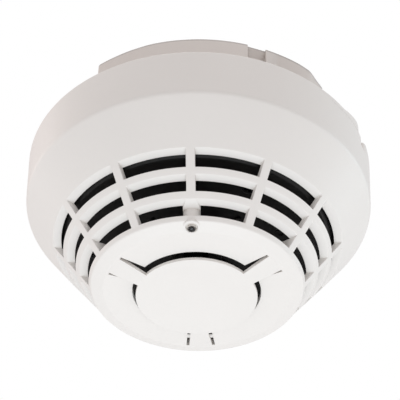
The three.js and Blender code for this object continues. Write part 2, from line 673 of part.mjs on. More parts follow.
function carrier() {
  const foot = CARRIER_TOP - CARRIER_PLATE;
  const skirtInner = CARRIER_RADIUS - CARRIER_SKIRT.wall;
  let body = turned([
    [0, foot],
    [skirtInner, foot],
    [skirtInner, foot - CARRIER_SKIRT.depth],
    [CARRIER_RADIUS, foot - CARRIER_SKIRT.depth],
    [CARRIER_RADIUS, CARRIER_TOP],
    [0, CARRIER_TOP],
  ]);
  const notchFloor = CARRIER_TOP + 0.1;
  const ringTop = BASE_SKIRT_FOOT - 0.4;
  const ring = turned([
    [LOCK_RING.inner, CARRIER_TOP - 0.5],
    [LOCK_RING.outer, CARRIER_TOP - 0.5],
    [LOCK_RING.outer, ringTop],
    [LOCK_RING.inner, ringTop],
  ]);
  body = body.add(ring).add(join(LOBE_AZIMUTHS.map(bayonetLug)));
  body = body.add(join(HEAD_SCREW_AZIMUTHS.map(screwPost)));
  for (const azimuth of [LOCK_AZIMUTH, LOCK_AZIMUTH + RELEASE_ANGLE]) {
    body = body.subtract(sector(LOCK_RING.inner - 0.2, LOCK_RING.outer + 0.4, notchFloor, ringTop + 1,
      azimuth - LOCK_RING.notchHalfSpan, azimuth + LOCK_RING.notchHalfSpan));
  }
  for (const azimuth of HEAD_SCREW_AZIMUTHS) {
    const [x, y] = polar(HEAD_SCREW_RADIUS_FROM_AXIS, azimuth);
    body = body.subtract(rod(SCREW_SHANK_RADIUS + FIT_GAP, BOARD_TOP - 1, CARRIER_TOP - 3, x, y));
  }
  for (const azimuth of TERMINAL_AZIMUTHS) body = body.subtract(bladeSlot(azimuth));
  return body;
}

/** Arched contact that the base's tongue rests on; one leg goes down to the circuit board. */
function contactBlade(azimuth) {
  const top = TONGUE_Z - FIT_GAP;
  const foot = CARRIER_TOP + FIT_GAP;
  const nearInner = BLADE.near + TERMINAL_SHEET;
  return strip([
    [BLADE.near, top],
    [BLADE.legOuter, top],
    [BLADE.legOuter, BOARD_TOP + FIT_GAP],
    [BLADE.legInner, BOARD_TOP + FIT_GAP],
    [BLADE.legInner, top - TERMINAL_SHEET],
    [nearInner, top - TERMINAL_SHEET],
    [nearInner, foot + TERMINAL_SHEET],
    [nearInner + 1.6, foot + TERMINAL_SHEET],
    [nearInner + 1.6, foot],
    [BLADE.near, foot],
  ], TERMINAL_RADIUS - BLADE.halfWidth, TERMINAL_RADIUS + BLADE.halfWidth, azimuth);
}

// ---- Inner parts of the head --------------------------------------------------------------------------

/** Black dish below the circuit board, with a windowed tube around the heat sensor. */
function sensorPlate() {
  const roof = SENSOR_PLATE_FACE + SENSOR_PLATE_WALL;
  const lowFace = SENSOR_PLATE_FACE - PLATE_STEP.drop;
  let plate = turned([
    [GUARD_TUBE.inner, roof],
    [GUARD_TUBE.inner, GUARD_TUBE.foot],
    [GUARD_TUBE.outer, GUARD_TUBE.foot],
    [GUARD_TUBE.outer, SENSOR_PLATE_FACE],
    [PLATE_STEP.from, SENSOR_PLATE_FACE],
    [PLATE_STEP.to, lowFace],
    [SENSOR_PLATE_RADIUS - 2, lowFace],
    [SENSOR_PLATE_RADIUS, SENSOR_PLATE_FACE + 0.4],
    [PLATE_FLANGE.outer, PLATE_FLANGE.foot],
    [PLATE_FLANGE.outer, PLATE_FLANGE.top],
    [PLATE_FLANGE.inner, PLATE_FLANGE.top],
    [PLATE_FLANGE.inner, PLATE_FLANGE.foot + 0.6],
    [SENSOR_PLATE_RADIUS - 1.6, roof],
  ]);
  const half = GUARD_TUBE.windowHalfWidth;
  for (const azimuth of [0, 120, 240]) {
    plate = plate.subtract(block([GUARD_TUBE.inner - 2, -half, GUARD_TUBE.foot + 2],
      [GUARD_TUBE.outer + 2, half, SENSOR_PLATE_FACE - 4], azimuth));
  }
  for (const azimuth of HEAD_SCREW_AZIMUTHS) {
    const [x, y] = polar(HEAD_SCREW_RADIUS_FROM_AXIS, azimuth);
    plate = plate.add(rod(3.2, roof - 0.3, BOARD_TOP - BOARD_THICKNESS - FIT_GAP, x, y));
    plate = plate.subtract(rod(SCREW_SHANK_RADIUS + FIT_GAP, SENSOR_PLATE_FACE - 3, BOARD_TOP, x, y));
  }
  return plate.subtract(rod(LIGHT_PIPE_RADIUS + FIT_GAP, SENSOR_PLATE_FACE - 3, roof + 1,
    0, -LIGHT_RADIUS_FROM_AXIS));
}

function headScrew(azimuth) {
  const [x, y] = polar(HEAD_SCREW_RADIUS_FROM_AXIS, azimuth);
  const headTop = SENSOR_PLATE_FACE - PLATE_STEP.drop - FIT_GAP;
  return screw({ x, y, headFoot: headTop - 1.6, headRadius: 2.6, headHeight: 1.6, tip: CARRIER_TOP - 4 });
}

function circuitBoard() {
  let board = rod(BOARD_RADIUS, BOARD_TOP - BOARD_THICKNESS, BOARD_TOP, 0, 0, BOARD_RADIUS, ROUND_STEPS);
  for (const azimuth of HEAD_SCREW_AZIMUTHS) {
    const [x, y] = polar(HEAD_SCREW_RADIUS_FROM_AXIS, azimuth);
    board = board.subtract(rod(SCREW_SHANK_RADIUS + FIT_GAP, BOARD_TOP - 3, BOARD_TOP + 1, x, y));
  }
  return board;
}

/** Clear rod with a domed end. */
function lightPipe() {
  const top = BOARD_TOP - BOARD_THICKNESS - 1.9;
  const domeCentre = LIGHT_PIPE_TIP + LIGHT_PIPE_RADIUS;
  const dome = Array.from({ length: 5 }, (_, i) => {
    const angle = (i / 4) * (Math.PI / 2);
    return [LIGHT_PIPE_RADIUS * Math.sin(angle), domeCentre - LIGHT_PIPE_RADIUS * Math.cos(angle)];
  });
  const pipe = turned([...dome, [LIGHT_PIPE_RADIUS, top], [0, top]], SMALL_STEPS);
  return pipe.translate([0, -LIGHT_RADIUS_FROM_AXIS, 0]);
}

/** One of the sensor's two wires, from the board down to the bead. */
function thermistorLead(side) {
  const path = new THREE.CatmullRomCurve3([
    new THREE.Vector3(side * 1.3, 0, BOARD_TOP - BOARD_THICKNESS - FIT_GAP),
    new THREE.Vector3(side * 1.3, 0, -44),
    new THREE.Vector3(side * 1.2, 0, -50),
    new THREE.Vector3(side * 0.5, 0, -53.2),
  ]);
  const section = new THREE.Shape();
  section.absarc(0, 0, 0.3, 0, 2 * Math.PI);
  const options = { steps: 8, extrudePath: path, curveSegments: 4, bevelEnabled: false };
  return toSolid(new THREE.ExtrudeGeometry(section, options));
}

function thermistorBead() {
  const bead = new THREE.SphereGeometry(1.3, 12, 8).rotateX(Math.PI / 2).scale(1, 1, 1.35);
  return toSolid(bead.translate(0, 0, -55.3));
}

/** Small rectangular part soldered under or on the board. */
function chip(size, x, y, z) {
  return toSolid(new THREE.BoxGeometry(...size).translate(x, y, z));
}

// ---- Assembly -----------------------------------------------------------------------------------------

addPiece("base_housing", baseHousing(), BASE_PLASTIC);
addPiece("lock_lever", lockLever(), WHITE_PLASTIC);
addPiece("lock_pin", lockAxle(LOCK_PIN_RADIUS, LOCK_WIDTH / 2 + 1), STEEL);
TERMINAL_AZIMUTHS.forEach((azimuth, i) => {
  addPiece(`terminal_plate_${i + 1}`, terminalPlate(azimuth), BRASS);
  addPiece(`clamp_washer_${i + 1}`, clampWasher(azimuth), STEEL);
  addPiece(`terminal_screw_${i + 1}`, terminalScrew(azimuth), STEEL);
});

addPiece("outer_cover", outerCover(), WHITE_PLASTIC);
addPiece("carrier", carrier(), WHITE_PLASTIC);
addPiece("sensor_plate", sensorPlate(), BLACK_PLASTIC);
addPiece("circuit_board", circuitBoard(), BOARD_GREEN);
HEAD_SCREW_AZIMUTHS.forEach((azimuth, i) => {
  addPiece(`head_screw_${i + 1}`, headScrew(azimuth), BLACK_STEEL);
});
TERMINAL_AZIMUTHS.forEach((azimuth, i) => {
  addPiece(`contact_blade_${i + 1}`, contactBlade(azimuth), BRASS);
});

const boardFoot = BOARD_TOP - BOARD_THICKNESS;
const emitterZ = boardFoot - FIT_GAP - 0.6;
addPiece("light_pipe", lightPipe(), CLEAR_PLASTIC);
addPiece("led_emitter", chip([3, 3, 1.2], 0, -LIGHT_RADIUS_FROM_AXIS, emitterZ), CLEAR_PLASTIC);
addPiece("controller_chip", chip([7, 7, 1.4], 16, 8, boardFoot - FIT_GAP - 0.7), CHIP_BLACK);
addPiece("storage_capacitor", rod(3.2, BOARD_TOP + FIT_GAP, BOARD_TOP + 7, -14, 12), CHIP_BLACK);
addPiece("reference_thermistor", chip([2, 1.2, 1], 12, -16, BOARD_TOP + FIT_GAP + 0.5), SENSOR_EPOXY);
addPiece("thermistor_bead", thermistorBead(), SENSOR_EPOXY);
[-1, 1].forEach((side, i) => addPiece(`thermistor_lead_${i + 1}`, thermistorLead(side), STEEL));

export default detector;
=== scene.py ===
"""Looks of the plug-in heat detector: a ceiling base with a twist-on sensing head, seen from below.

Lengths in this script are millimetres in the frame of the CAD model and become metres when a mesh is made.
Azimuths are in degrees from -Y towards +X, so the status light is at azimuth 0.
"""
import math

import bmesh
import bpy
from mathutils import Matrix, Vector


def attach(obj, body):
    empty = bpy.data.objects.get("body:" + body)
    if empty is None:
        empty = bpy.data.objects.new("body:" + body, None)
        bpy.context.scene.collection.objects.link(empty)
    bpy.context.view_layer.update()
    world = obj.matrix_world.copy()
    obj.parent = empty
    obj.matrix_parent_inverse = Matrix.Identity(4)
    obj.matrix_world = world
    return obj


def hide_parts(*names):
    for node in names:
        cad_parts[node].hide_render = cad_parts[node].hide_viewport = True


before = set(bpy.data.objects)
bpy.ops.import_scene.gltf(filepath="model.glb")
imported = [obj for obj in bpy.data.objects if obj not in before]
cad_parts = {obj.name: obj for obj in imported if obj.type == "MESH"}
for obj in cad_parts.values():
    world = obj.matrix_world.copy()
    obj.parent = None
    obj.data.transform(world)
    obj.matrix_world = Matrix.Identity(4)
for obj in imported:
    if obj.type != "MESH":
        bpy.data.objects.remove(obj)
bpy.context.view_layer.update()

MM = 0.001

# ---- Driving dimensions ----

RIM_RADIUS = 58.4
RIM_TOP = -11.0
RIM_CORNER_RADIUS, RIM_CORNER = 57.6, -28.0
CORNER_ROUNDING = 3.0
GRILLE_TOP_RADIUS, GRILLE_TOP = 47.4, -41.45
GRILLE_FOOT_RADIUS, GRILLE_FOOT = 34.75, -57.55
FRONT_CORNER_RADIUS, FRONT_CORNER = 34.0, -59.15
FRONT_FACE_RADIUS, FRONT_FACE = 30.0, -60.2
COVER_WALL = 2.2
FRONT_WALL = 2.0

RIB_COUNT = 12
RIB_WIDTH = 2.8
SLOT_ROWS = ((-41.45, -46.0), (-47.75, -51.75), (-53.6, -57.55))
LEDGE_DIP = 0.45                 # how far a slot's roof slopes down towards the inside
SLOT_COLUMNS = 9                 # mesh columns inside one slot
COLUMNS_PER_RIB = SLOT_COLUMNS + 3
EDGE_ROUNDING = 0.2              # bevel on the slots' edges

RING_HOLE_RADIUS = 20.5
DISC_RADIUS = 19.4
DISC_FACE = -62.4
DISC_THICKNESS = 1.1
ARM_AZIMUTHS = (60, 180, 300)
ARM_ROOT_RADIUS, ARM_ROOT_HALF_WIDTH = 29.2, 3.9
ARM_TIP_RADIUS, ARM_TIP_HALF_WIDTH = 17.0, 2.7
SLIT_WIDTH = 0.9
SLIT_END_RADIUS = 28.8
ARM_WEB_INNER, ARM_WEB_FOOT_OUTER, ARM_WEB_TOP_OUTER, ARM_WEB_TOP = 30.0, 33.0, 36.0, -54.1

LIGHT_RADIUS_FROM_AXIS = 31.9
LIGHT_ROW = 2                    # row of slots where the light boss stands in for a rib
LIGHT_BOSS_RADIUS, LIGHT_BOSS_TOP, LIGHT_BOSS_ROUNDING = 2.65, -50.0, 0.45
LIGHT_BOSS_FOOT = FRONT_CORNER - 0.55
BOSS_WEB_INNER, BOSS_WEB_TIP, BOSS_WEB_TIP_TOP, BOSS_WEB_DROP = 33.0, 37.75, 36.2, 0.9
LIGHT_MOUTH_RADIUS, LIGHT_MOUTH_FLOOR = 1.8, -59.3
LIGHT_SLEEVE_FOOT = -60.05       # sleeve around the pipe, standing up from the mouth's floor
LIGHT_PIPE_RADIUS, LIGHT_PIPE_TOP = 0.85, -38.4
LIGHT_DOME_RADIUS, LIGHT_DOME_TIP = 1.3, -60.95
LIGHT_PIPE_FROM_AXIS = 31.52     # the pipe sits a little off-centre in its mouth

NOTCH_FROM, NOTCH_TO, NOTCH_DEPTH, NOTCH_CUT = 68.4, 73.4, 5.2, 1.15
NOTCH_NEAR_SLOPE = 2.7           # degrees over which the rim slopes in to the notch's near side
NOTCH_FAR_ROUNDING = 2.4         # degrees over which the notch's far end rounds off
NOTCH_PAD_THICKNESS, NOTCH_PAD_MARGIN = 1.2, 3.0
MARK_FROM, MARK_TO, MARK_HEIGHT = 50.0, 73.3, 2.6
MARK_RISE = 17.0                 # degrees over which the mark rises out of the rim
MARK_ROOT = 0.7                  # how far below the rim's edge the mark starts
MARK_ROUNDING = 0.5

BASE_RADIUS = 49.0
LOBE_RADIUS = 54.0
LOBE_AZIMUTHS = (6, 126, 246)
LOBE_END_SPAN = 2.6              # degrees over which a lobe's near end rounds off
# A lobe's outline, as (degrees from the lobe's centre, radius)
LOBE_OUTLINE = (
    (-43.5, 53.7), (-34.0, 53.7), (-25.0, 53.9), (-20.0, 54.1), (-8.0, 54.1), (4.0, 54.2), (14.0, 54.3),
    (24.0, 54.4), (33.0, 54.6), (38.0, 54.5), (43.0, 53.2), (47.5, 52.5), (50.0, 50.6), (52.0, 49.0))
LEAN_FROM, LEAN_TO, LEAN = 20.5, 24.0, 2.0   # where and how far a lobe's far side leans in at its foot
BASE_BACK_WALL = 2.2
BASE_SKIRT_WALL = 2.0
BASE_SKIRT_FOOT = -14.2
LEDGE_TOP = -12.4
LEDGE_INNER_RADIUS = 47.0
LEDGE_HALF_SPAN = 11.5
LUG_HALF_SPAN = 8.0
CABLE_INNER, CABLE_OUTER, CABLE_HALF_SPAN = 11.0, 22.0, 52.0
FIXING_SPACING, FIXING_WIDTH, FIXING_LENGTH = 60.0, 4.5, 10.0
LOCK_AZIMUTH = 22.4
LOCK_WIDTH = 5.6
LOCK_PIVOT_RADIUS, LOCK_PIVOT_Z = 50.6, -7.9
LOCK_WINDOW_TOP = -5.7
LOCK_PIN_RADIUS = 0.8
LEVER_OUTER, LEVER_INNER, LEVER_FOOT = 52.2, 50.3, -16.4
RECESS_PAD_INNER, RECESS_RADIUS, RECESS_LIP_RADIUS = 50.3, 52.3, 53.5
RECESS_LIP_LOW, RECESS_LIP_HIGH = -3.0, -1.2
LUG_THICKNESS = 1.5
TERMINAL_AZIMUTHS = (50, 140, 230, 320)
TERMINAL_RADIUS = 34.0
TERMINAL_SEAT = -5.2
PEDESTAL_HALF_WIDTH, PEDESTAL_FROM, PEDESTAL_TO = 4.6, -6.5, 6.0
TERMINAL_WALL_NEAR, TERMINAL_WALL_FAR = 3.5, 4.6
TERMINAL_WALL_FROM, TERMINAL_WALL_TO = -6.0, 5.5
TERMINAL_BORE_RADIUS, TERMINAL_BORE_TOP = 1.7, -1.2
# Shallow marks in the back: grooves as (inner radius, outer radius, depth)
BACK_GROOVES = ((44.0, 44.9, 0.45), (25.5, 26.1, 0.35))
EJECTOR_RADIUS, EJECTOR_DEPTH, EJECTOR_RING = 2.2, 0.2, 35.0
DRILL_GUIDE_RADIUS, DRILL_GUIDE_DEPTH, DRILL_GUIDE_RING = 1.3, 1.3, 30.5
FIT_GAP = 0.3

SENSOR_PLATE_RADIUS = 44.3
SENSOR_PLATE_FACE = -40.9
SENSOR_PLATE_WALL = 1.5
PLATE_STEP_FROM, PLATE_STEP_TO, PLATE_STEP_DROP = 20.5, 21.0, 0.7
PLATE_RIM_FROM, PLATE_RIM_TO = 42.7, 43.5
FLANGE_INNER, FLANGE_OUTER, FLANGE_FOOT, FLANGE_TOP = 50.6, 52.0, -31.4, -28.6
GUARD_TUBE_INNER, GUARD_TUBE_OUTER, GUARD_TUBE_FOOT = 6.6, 8.0, -57.0
POST_RADIUS, POST_TOP, POST_BORE_RADIUS = 3.2, -36.8, 1.7
PLATE_RING_AZIMUTHS, PLATE_RING_FROM_AXIS = (76, 196, 316), 28.0
PLATE_RING_INNER, PLATE_RING_OUTER = 1.1, 1.6
HEAD_SCREW_AZIMUTHS = (30, 150, 270)
HEAD_SCREW_RADIUS_FROM_AXIS = 35.0
THREAD_PITCH, THREAD_DEPTH = 0.7, 0.22

# Camera: below the object and in front of its status light, looking up
CAMERA_AT = (19.57, -321.45, -306.32)
CAMERA_AZIMUTH = 3.4
CAMERA_ELEVATION = 41.58
CAMERA_ROLL = 1.146
CAMERA_LENS = 114.03


# ---- Small helpers ----

def polar(radius, azimuth):
    """x and y of a point at a radius and azimuth."""
    angle = math.radians(azimuth)
    return radius * math.sin(angle), -radius * math.cos(angle)


def turned_point(u, v, azimuth):
    """x and y of a point given along (u) and across (v) the radius at an azimuth."""
    angle = math.radians(azimuth)
    return (u * math.sin(angle) + v * math.cos(angle), -u * math.cos(angle) + v * math.sin(angle))


def arc(centre, radius, start, end, steps):
    """Points on an arc in any plane, angles in degrees."""
    points = []
    for i in range(steps + 1):
        angle = math.radians(start + (end - start) * i / steps)
        points.append((centre[0] + radius * math.cos(angle), centre[1] + radius * math.sin(angle)))
    return points


def rounded(points, radii, steps=3):
    """Closed outline with each corner replaced by a curve of its own radius; 0 keeps it sharp."""
    result = []
    for i, (corner, radius) in enumerate(zip(points, radii)):
        here = Vector(corner)
        before = Vector(points[i - 1]) - here
        after = Vector(points[(i + 1) % len(points)]) - here
        half = before.angle(after) / 2
        reach = min(radius / math.tan(half) if radius else 0, 0.45 * before.length, 0.45 * after.length)
        if reach < 1e-4:
            result.append(tuple(here))
            continue
        start = here + before.normalized() * reach
        end = here + after.normalized() * reach
        for k in range(steps + 1):
            t = k / steps
            result.append(tuple(start * (1 - t) ** 2 + here * 2 * t * (1 - t) + end * t ** 2))
    return result


def new_object(name, vertices, faces):
    """Mesh object from millimetre vertices, with its faces turned outwards."""
    mesh = bpy.data.meshes.new(name)
    mesh.from_pydata([Vector(v) * MM for v in vertices], [], faces)
    obj = bpy.data.objects.new(name, mesh)
    bpy.context.scene.collection.objects.link(obj)
    face_out(obj)
    return obj


def face_out(obj):
    """Merge doubled vertices and turn every face outwards."""
    edit = bmesh.new()
    edit.from_mesh(obj.data)
    bmesh.ops.remove_doubles(edit, verts=edit.verts, dist=1e-7)
    bmesh.ops.recalc_face_normals(edit, faces=edit.faces)
    edit.to_mesh(obj.data)
    edit.free()


def turned(name, profile, steps=144):
    """Solid of revolution about Z from a closed (radius, z) outline."""
    vertices, faces, rings = [], [], []
    for radius, z in profile:
        if radius < 1e-6:
            rings.append([len(vertices)] * steps)
            vertices.append((0, 0, z))
            continue
        rings.append(list(range(len(vertices), len(vertices) + steps)))
        for i in range(steps):
            x, y = polar(radius, 360 * i / steps)
            vertices.append((x, y, z))
    for k, ring in enumerate(rings):
        following = rings[(k + 1) % len(rings)]
        for i in range(steps):
            j = (i + 1) % steps
            corners = [ring[i], ring[j], following[j], following[i]]
            face = list(dict.fromkeys(corners))
            if len(face) > 2:
                faces.append(face)
    return new_object(name, vertices, faces)


def between(name, first, last):
    """Solid between two matching loops of points."""
    count = len(first)
    faces = [list(range(count)), list(range(count, 2 * count))]
    for i in range(count):
        j = (i + 1) % count
        faces.append([i, j, count + j, count + i])
    return new_object(name, first + last, faces)


def prism(name, outline, low, high):
    """Upright prism over a flat (x, y) outline."""
    return between(name, [(x, y, low) for x, y in outline], [(x, y, high) for x, y in outline])


def rectangle(left, right, low, high):
    """Outline of a rectangle, starting from its (left, low) corner."""
    return [(left, low), (right, low), (right, high), (left, high)]


def sector_outline(inner, outer, start, end, corner=0.0, step=1.5):
    """Outline of part of a ring between two azimuths."""
    steps = max(2, math.ceil(abs(end - start) / step))
    outside = [polar(outer, start + (end - start) * i / steps) for i in range(steps + 1)]
    inside = [polar(inner, end + (start - end) * i / steps) for i in range(steps + 1)]
    outline = outside + inside
    if not corner:
        return outline
    radii = [0.0] * len(outline)
    for i in (0, steps, steps + 1, 2 * steps + 1):
        radii[i] = corner
    return rounded(outline, radii)


def sector(name, inner, outer, low, high, start, end, corner=0.0):
    """Upright prism over part of a ring."""
    return prism(name, sector_outline(inner, outer, start, end, corner), low, high)


def slab(name, points, low, high, azimuth):
    """Prism over an outline of (u, v) points turned to an azimuth."""
    return prism(name, [turned_point(u, v, azimuth) for u, v in points], low, high)


def fin(name, points, half_width, azimuth):
    """Outline of (u, z) points made into a plate across the radius."""
    near, far = ([(*turned_point(u, v, azimuth), z) for u, z in points] for v in (-half_width, half_width))
    return between(name, near, far)


def swept(name, sections):
    """Solid through a list of (azimuth, [(radius, z), ...]) sections with flat ends."""
    count = len(sections[0][1])
    vertices = []
    for azimuth, section in sections:
        for radius, z in section:
            x, y = polar(radius, azimuth)
            vertices.append((x, y, z))
    faces = [list(range(count)), list(range(len(vertices) - count, len(vertices)))]
    for k in range(len(sections) - 1):
        for i in range(count):
            j = (i + 1) % count
            faces.append([k * count + i, k * count + j, (k + 1) * count + j, (k + 1) * count + i])
    return new_object(name, vertices, faces)


def rod(name, profile, x=0.0, y=0.0, steps=32):
    """Solid of revolution about an upright line through x, y."""
    obj = turned(name, profile, steps)
    obj.data.transform(Matrix.Translation((x * MM, y * MM, 0)))
    return obj


def plain_rod(name, radius, low, high, x=0.0, y=0.0, steps=32):
    """Upright cylinder."""
    return rod(name, rectangle(0, radius, low, high), x, y, steps)


def apply_modifiers(obj):
    """Replace the object's mesh by the result of its modifiers."""
    graph = bpy.context.evaluated_depsgraph_get()
    mesh = bpy.data.meshes.new_from_object(obj.evaluated_get(graph))
    obj.modifiers.clear()
    obj.data = mesh


def combine(target, tools, operation):
    """Join or cut with a list of solids, which are used up."""
    for tool in tools:
        modifier = target.modifiers.new(operation, "BOOLEAN")
        modifier.operation = operation
        modifier.solver = "EXACT"
        modifier.object = tool
        apply_modifiers(target)
        bpy.data.objects.remove(tool)
    return target


def join(target, tools):
    return combine(target, tools, "UNION")


def cut(target, tools):
    return combine(target, tools, "DIFFERENCE")


def add_bevel(obj, width, angle):
    """Modifier that rounds every edge sharper than an angle."""
    modifier = obj.modifiers.new("bevel", "BEVEL")
    modifier.width = width * MM
    modifier.segments = 2
    modifier.limit_method = "ANGLE"
    modifier.angle_limit = math.radians(angle)


def round_edges(obj, edges, width):
    """Round only the listed edges, each a pair of vertex numbers."""
    weights = obj.data.attributes.new("bevel_weight_edge", "FLOAT", "EDGE")
    for edge in obj.data.edges:
        if frozenset(edge.vertices) in edges:
            weights.data[edge.index].value = 1.0
    modifier = obj.modifiers.new("bevel", "BEVEL")
    modifier.width = width * MM
    modifier.segments = 2
    modifier.limit_method = "WEIGHT"
    apply_modifiers(obj)


def finish_piece(obj, material, body, nodes, angle=32.0):
    """Give a piece smooth shading, its material and body, and hide the CAD nodes that it stands for."""
    obj.data.materials.clear()
    obj.data.materials.append(material)
    obj.data.shade_smooth()
    obj.data.set_sharp_from_angle(angle=math.radians(angle))
    weighted = obj.modifiers.new("weighted_normals", "WEIGHTED_NORMAL")
    weighted.keep_sharp = True
    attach(obj, body)
    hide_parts(*nodes)


# ---- Materials ----

class Nodes:
    """Short way to build a material's node tree."""

    def __init__(self, name):
        self.material = bpy.data.materials.new(name)
        self.material.use_nodes = True
        self.tree = self.material.node_tree
        self.shader = self.tree.nodes["Principled BSDF"]
        self.place = self.add("ShaderNodeTexCoord").outputs["Object"]

    def add(self, kind, inputs=None, **settings):
        node = self.tree.nodes.new(kind)
        for key, value in settings.items():
            setattr(node, key, value)
        for key, value in (inputs or {}).items():
            self.set(node.inputs[key], value)
        return node

    def set(self, socket, value):
        if isinstance(value, bpy.types.NodeSocket):
            self.tree.links.new(value, socket)
        else:
            socket.default_value = value

    def shade(self, **inputs):
        for key, value in inputs.items():
            self.set(self.shader.inputs[key.replace("_", " ")], value)

    def noise(self, scale, detail=3.0, roughness=0.5):
        """Noise whose scale is in cycles per metre."""
        inputs = {"Vector": self.place, "Scale": scale, "Detail": detail, "Roughness": roughness}
        return self.add("ShaderNodeTexNoise", inputs).outputs["Fac"]

    def remap(self, value, low, high):
        """Noise stretched to a range."""
        inputs = {"Value": value, "From Min": 0.3, "From Max": 0.7, "To Min": low, "To Max": high}
        return self.add("ShaderNodeMapRange", inputs).outputs["Result"]

    def blend(self, factor, first, second):
        node = self.add("ShaderNodeMix", data_type="RGBA")
        self.set(node.inputs[0], factor)
        self.set(node.inputs[6], first)
        self.set(node.inputs[7], second)
        return node.outputs[2]

    def relief(self, heights):
        """Bump from a list of (height, distance in mm) pairs, one on top of the other."""
        normal = None
        for height, distance in heights:
            node = self.add("ShaderNodeBump", {"Height": height, "Distance": distance * MM, "Strength": 1.0})
            if normal is not None:
                self.set(node.inputs["Normal"], normal)
            normal = node.outputs["Normal"]
        return normal

    def below(self, reach):
        """0 at the ceiling, rising to 1 within a reach in mm below it."""
        height = self.add("ShaderNodeSeparateXYZ", {"Vector": self.place}).outputs["Z"]
        inputs = {"Value": height, "From Min": 0.0, "From Max": -reach * MM, "To Min": 0.0, "To Max": 1.0}
        return self.add("ShaderNodeMapRange", inputs).outputs["Result"]

    def crevices(self, reach):
        """1 on open surfaces and less in corners within a reach in mm."""
        return self.add("ShaderNodeAmbientOcclusion", {"Distance": reach * MM}, samples=8).outputs["AO"]


def tint(colour, factor):
    """Colour with alpha, scaled by a factor."""
    return tuple(min(1.0, c * factor) for c in colour) + (1.0,)


def moulded_plastic(name, colour, roughness, grain, corner_shade, ceiling_shade=1.0):
    """Moulded plastic with grain; its corners are darker as painted shade, and when the last factor is below
    1 a painted shade line darkens its edge at the ceiling.
    """
    n = Nodes(name)
    drift = n.remap(n.noise(28, 2.0), 0.0, 1.0)
    body = n.blend(drift, tint(colour, 0.985), tint(colour, 1.01))
    speck = n.remap(n.noise(900, 4.0, 0.6), 0.0, 0.35)
    body = n.blend(speck, body, tint(colour, 0.972))
    # Painted shade: a darker, warmer colour in corners within 1.6 mm of other surfaces.
    open_share = n.crevices(1.6)
    corner_shade_colour = tuple(c * f for c, f in zip(colour, (corner_shade, corner_shade * 0.985, corner_shade * 0.96))) + (1.0,)
    body = n.blend(open_share, corner_shade_colour, body)
    # Painted shade: a darker line within 1 mm of the ceiling.
    if ceiling_shade < 1:
        body = n.blend(n.below(1.0), tint(colour, ceiling_shade), body)
    gloss = n.remap(n.noise(340, 4.0, 0.6), roughness - 0.05, roughness + 0.06)
    normal = n.relief([(n.noise(160, 2.0), 0.012), (n.noise(5200, 2.0), grain)])
    n.shade(Base_Color=body, Roughness=gloss, Normal=normal)
    return n.material


def black_plastic():
    """Glossy black moulding with faint flow lines."""
    n = Nodes("inner_black")
    smoke = n.remap(n.noise(120, 4.0), 0.0, 1.0)
    body = n.blend(smoke, (0.006, 0.0055, 0.0055, 1), (0.009, 0.0085, 0.0085, 1))
    gloss = n.remap(n.noise(420, 5.0, 0.65), 0.36, 0.46)
    normal = n.relief([(n.noise(240, 2.0), 0.01), (n.noise(4200, 2.0), 0.004)])
    n.shade(Base_Color=body, Roughness=gloss, Normal=normal, Specular_IOR_Level=0.3)
    return n.material


def clear_acrylic():
    """Polished clear rod with a faint haze, tinted dark grey as painted shade for the dark inside seen
    through it.
    """
    n = Nodes("clear_acrylic")
    haze = n.remap(n.noise(700, 3.0), 0.0, 0.02)
    tone = n.blend(n.noise(300, 2.0), (0.22, 0.21, 0.20, 1), (0.28, 0.265, 0.25, 1))
    n.shade(Base_Color=tone, Roughness=haze, IOR=1.49, Transmission_Weight=1.0)
    return n.material


def metal(name, colour, roughness, scratch_scale):
    """Plated metal with fine drawn scratches and dull patches."""
    n = Nodes(name)
    stretch = n.add("ShaderNodeMapping", {"Vector": n.place, "Scale": (1.0, 1.0, 0.06)}).outputs["Vector"]
    drawn = {"Vector": stretch, "Scale": scratch_scale, "Detail": 5.0}
    lines = n.add("ShaderNodeTexNoise", drawn).outputs["Fac"]
    patch = n.remap(n.noise(260, 3.0), 0.0, 1.0)
    body = n.blend(patch, tint(colour, 0.82), tint(colour, 1.06))
    # Painted shade: much darker within 0.8 mm of other surfaces.
    body = n.blend(n.crevices(0.8), tint(colour, 0.35), body)
    gloss = n.remap(lines, roughness - 0.08, roughness + 0.16)
    n.shade(Base_Color=body, Roughness=gloss, Metallic=1.0, Normal=n.relief([(lines, 0.01)]))
    return n.material


def board_laminate():
    """Solder-masked circuit board with darker tracks under the mask."""
    n = Nodes("board_green")
    tracks = n.add("ShaderNodeTexBrick", {"Vector": n.place, "Scale": 260.0, "Mortar Size": 0.03})
    weave = n.remap(n.noise(2600, 2.0), 0.0, 0.4)
    body = n.blend(tracks.outputs["Fac"], (0.014, 0.085, 0.03, 1), (0.03, 0.16, 0.06, 1))
    body = n.blend(weave, body, (0.02, 0.11, 0.04, 1))
    n.shade(Base_Color=body, Roughness=0.34, Normal=n.relief([(tracks.outputs["Fac"], 0.03)]))
    return n.material


def dark_epoxy(name, colour, roughness):
    """Mottled moulding compound of the small parts on the board."""
    n = Nodes(name)
    mottled = n.blend(n.noise(900, 4.0), tint(colour, 0.8), tint(colour, 1.25))
    gloss = n.remap(n.noise(1500, 3.0), roughness - 0.06, roughness + 0.08)
    n.shade(Base_Color=mottled, Roughness=gloss, Normal=n.relief([(n.noise(3200, 3.0), 0.01)]))
    return n.material


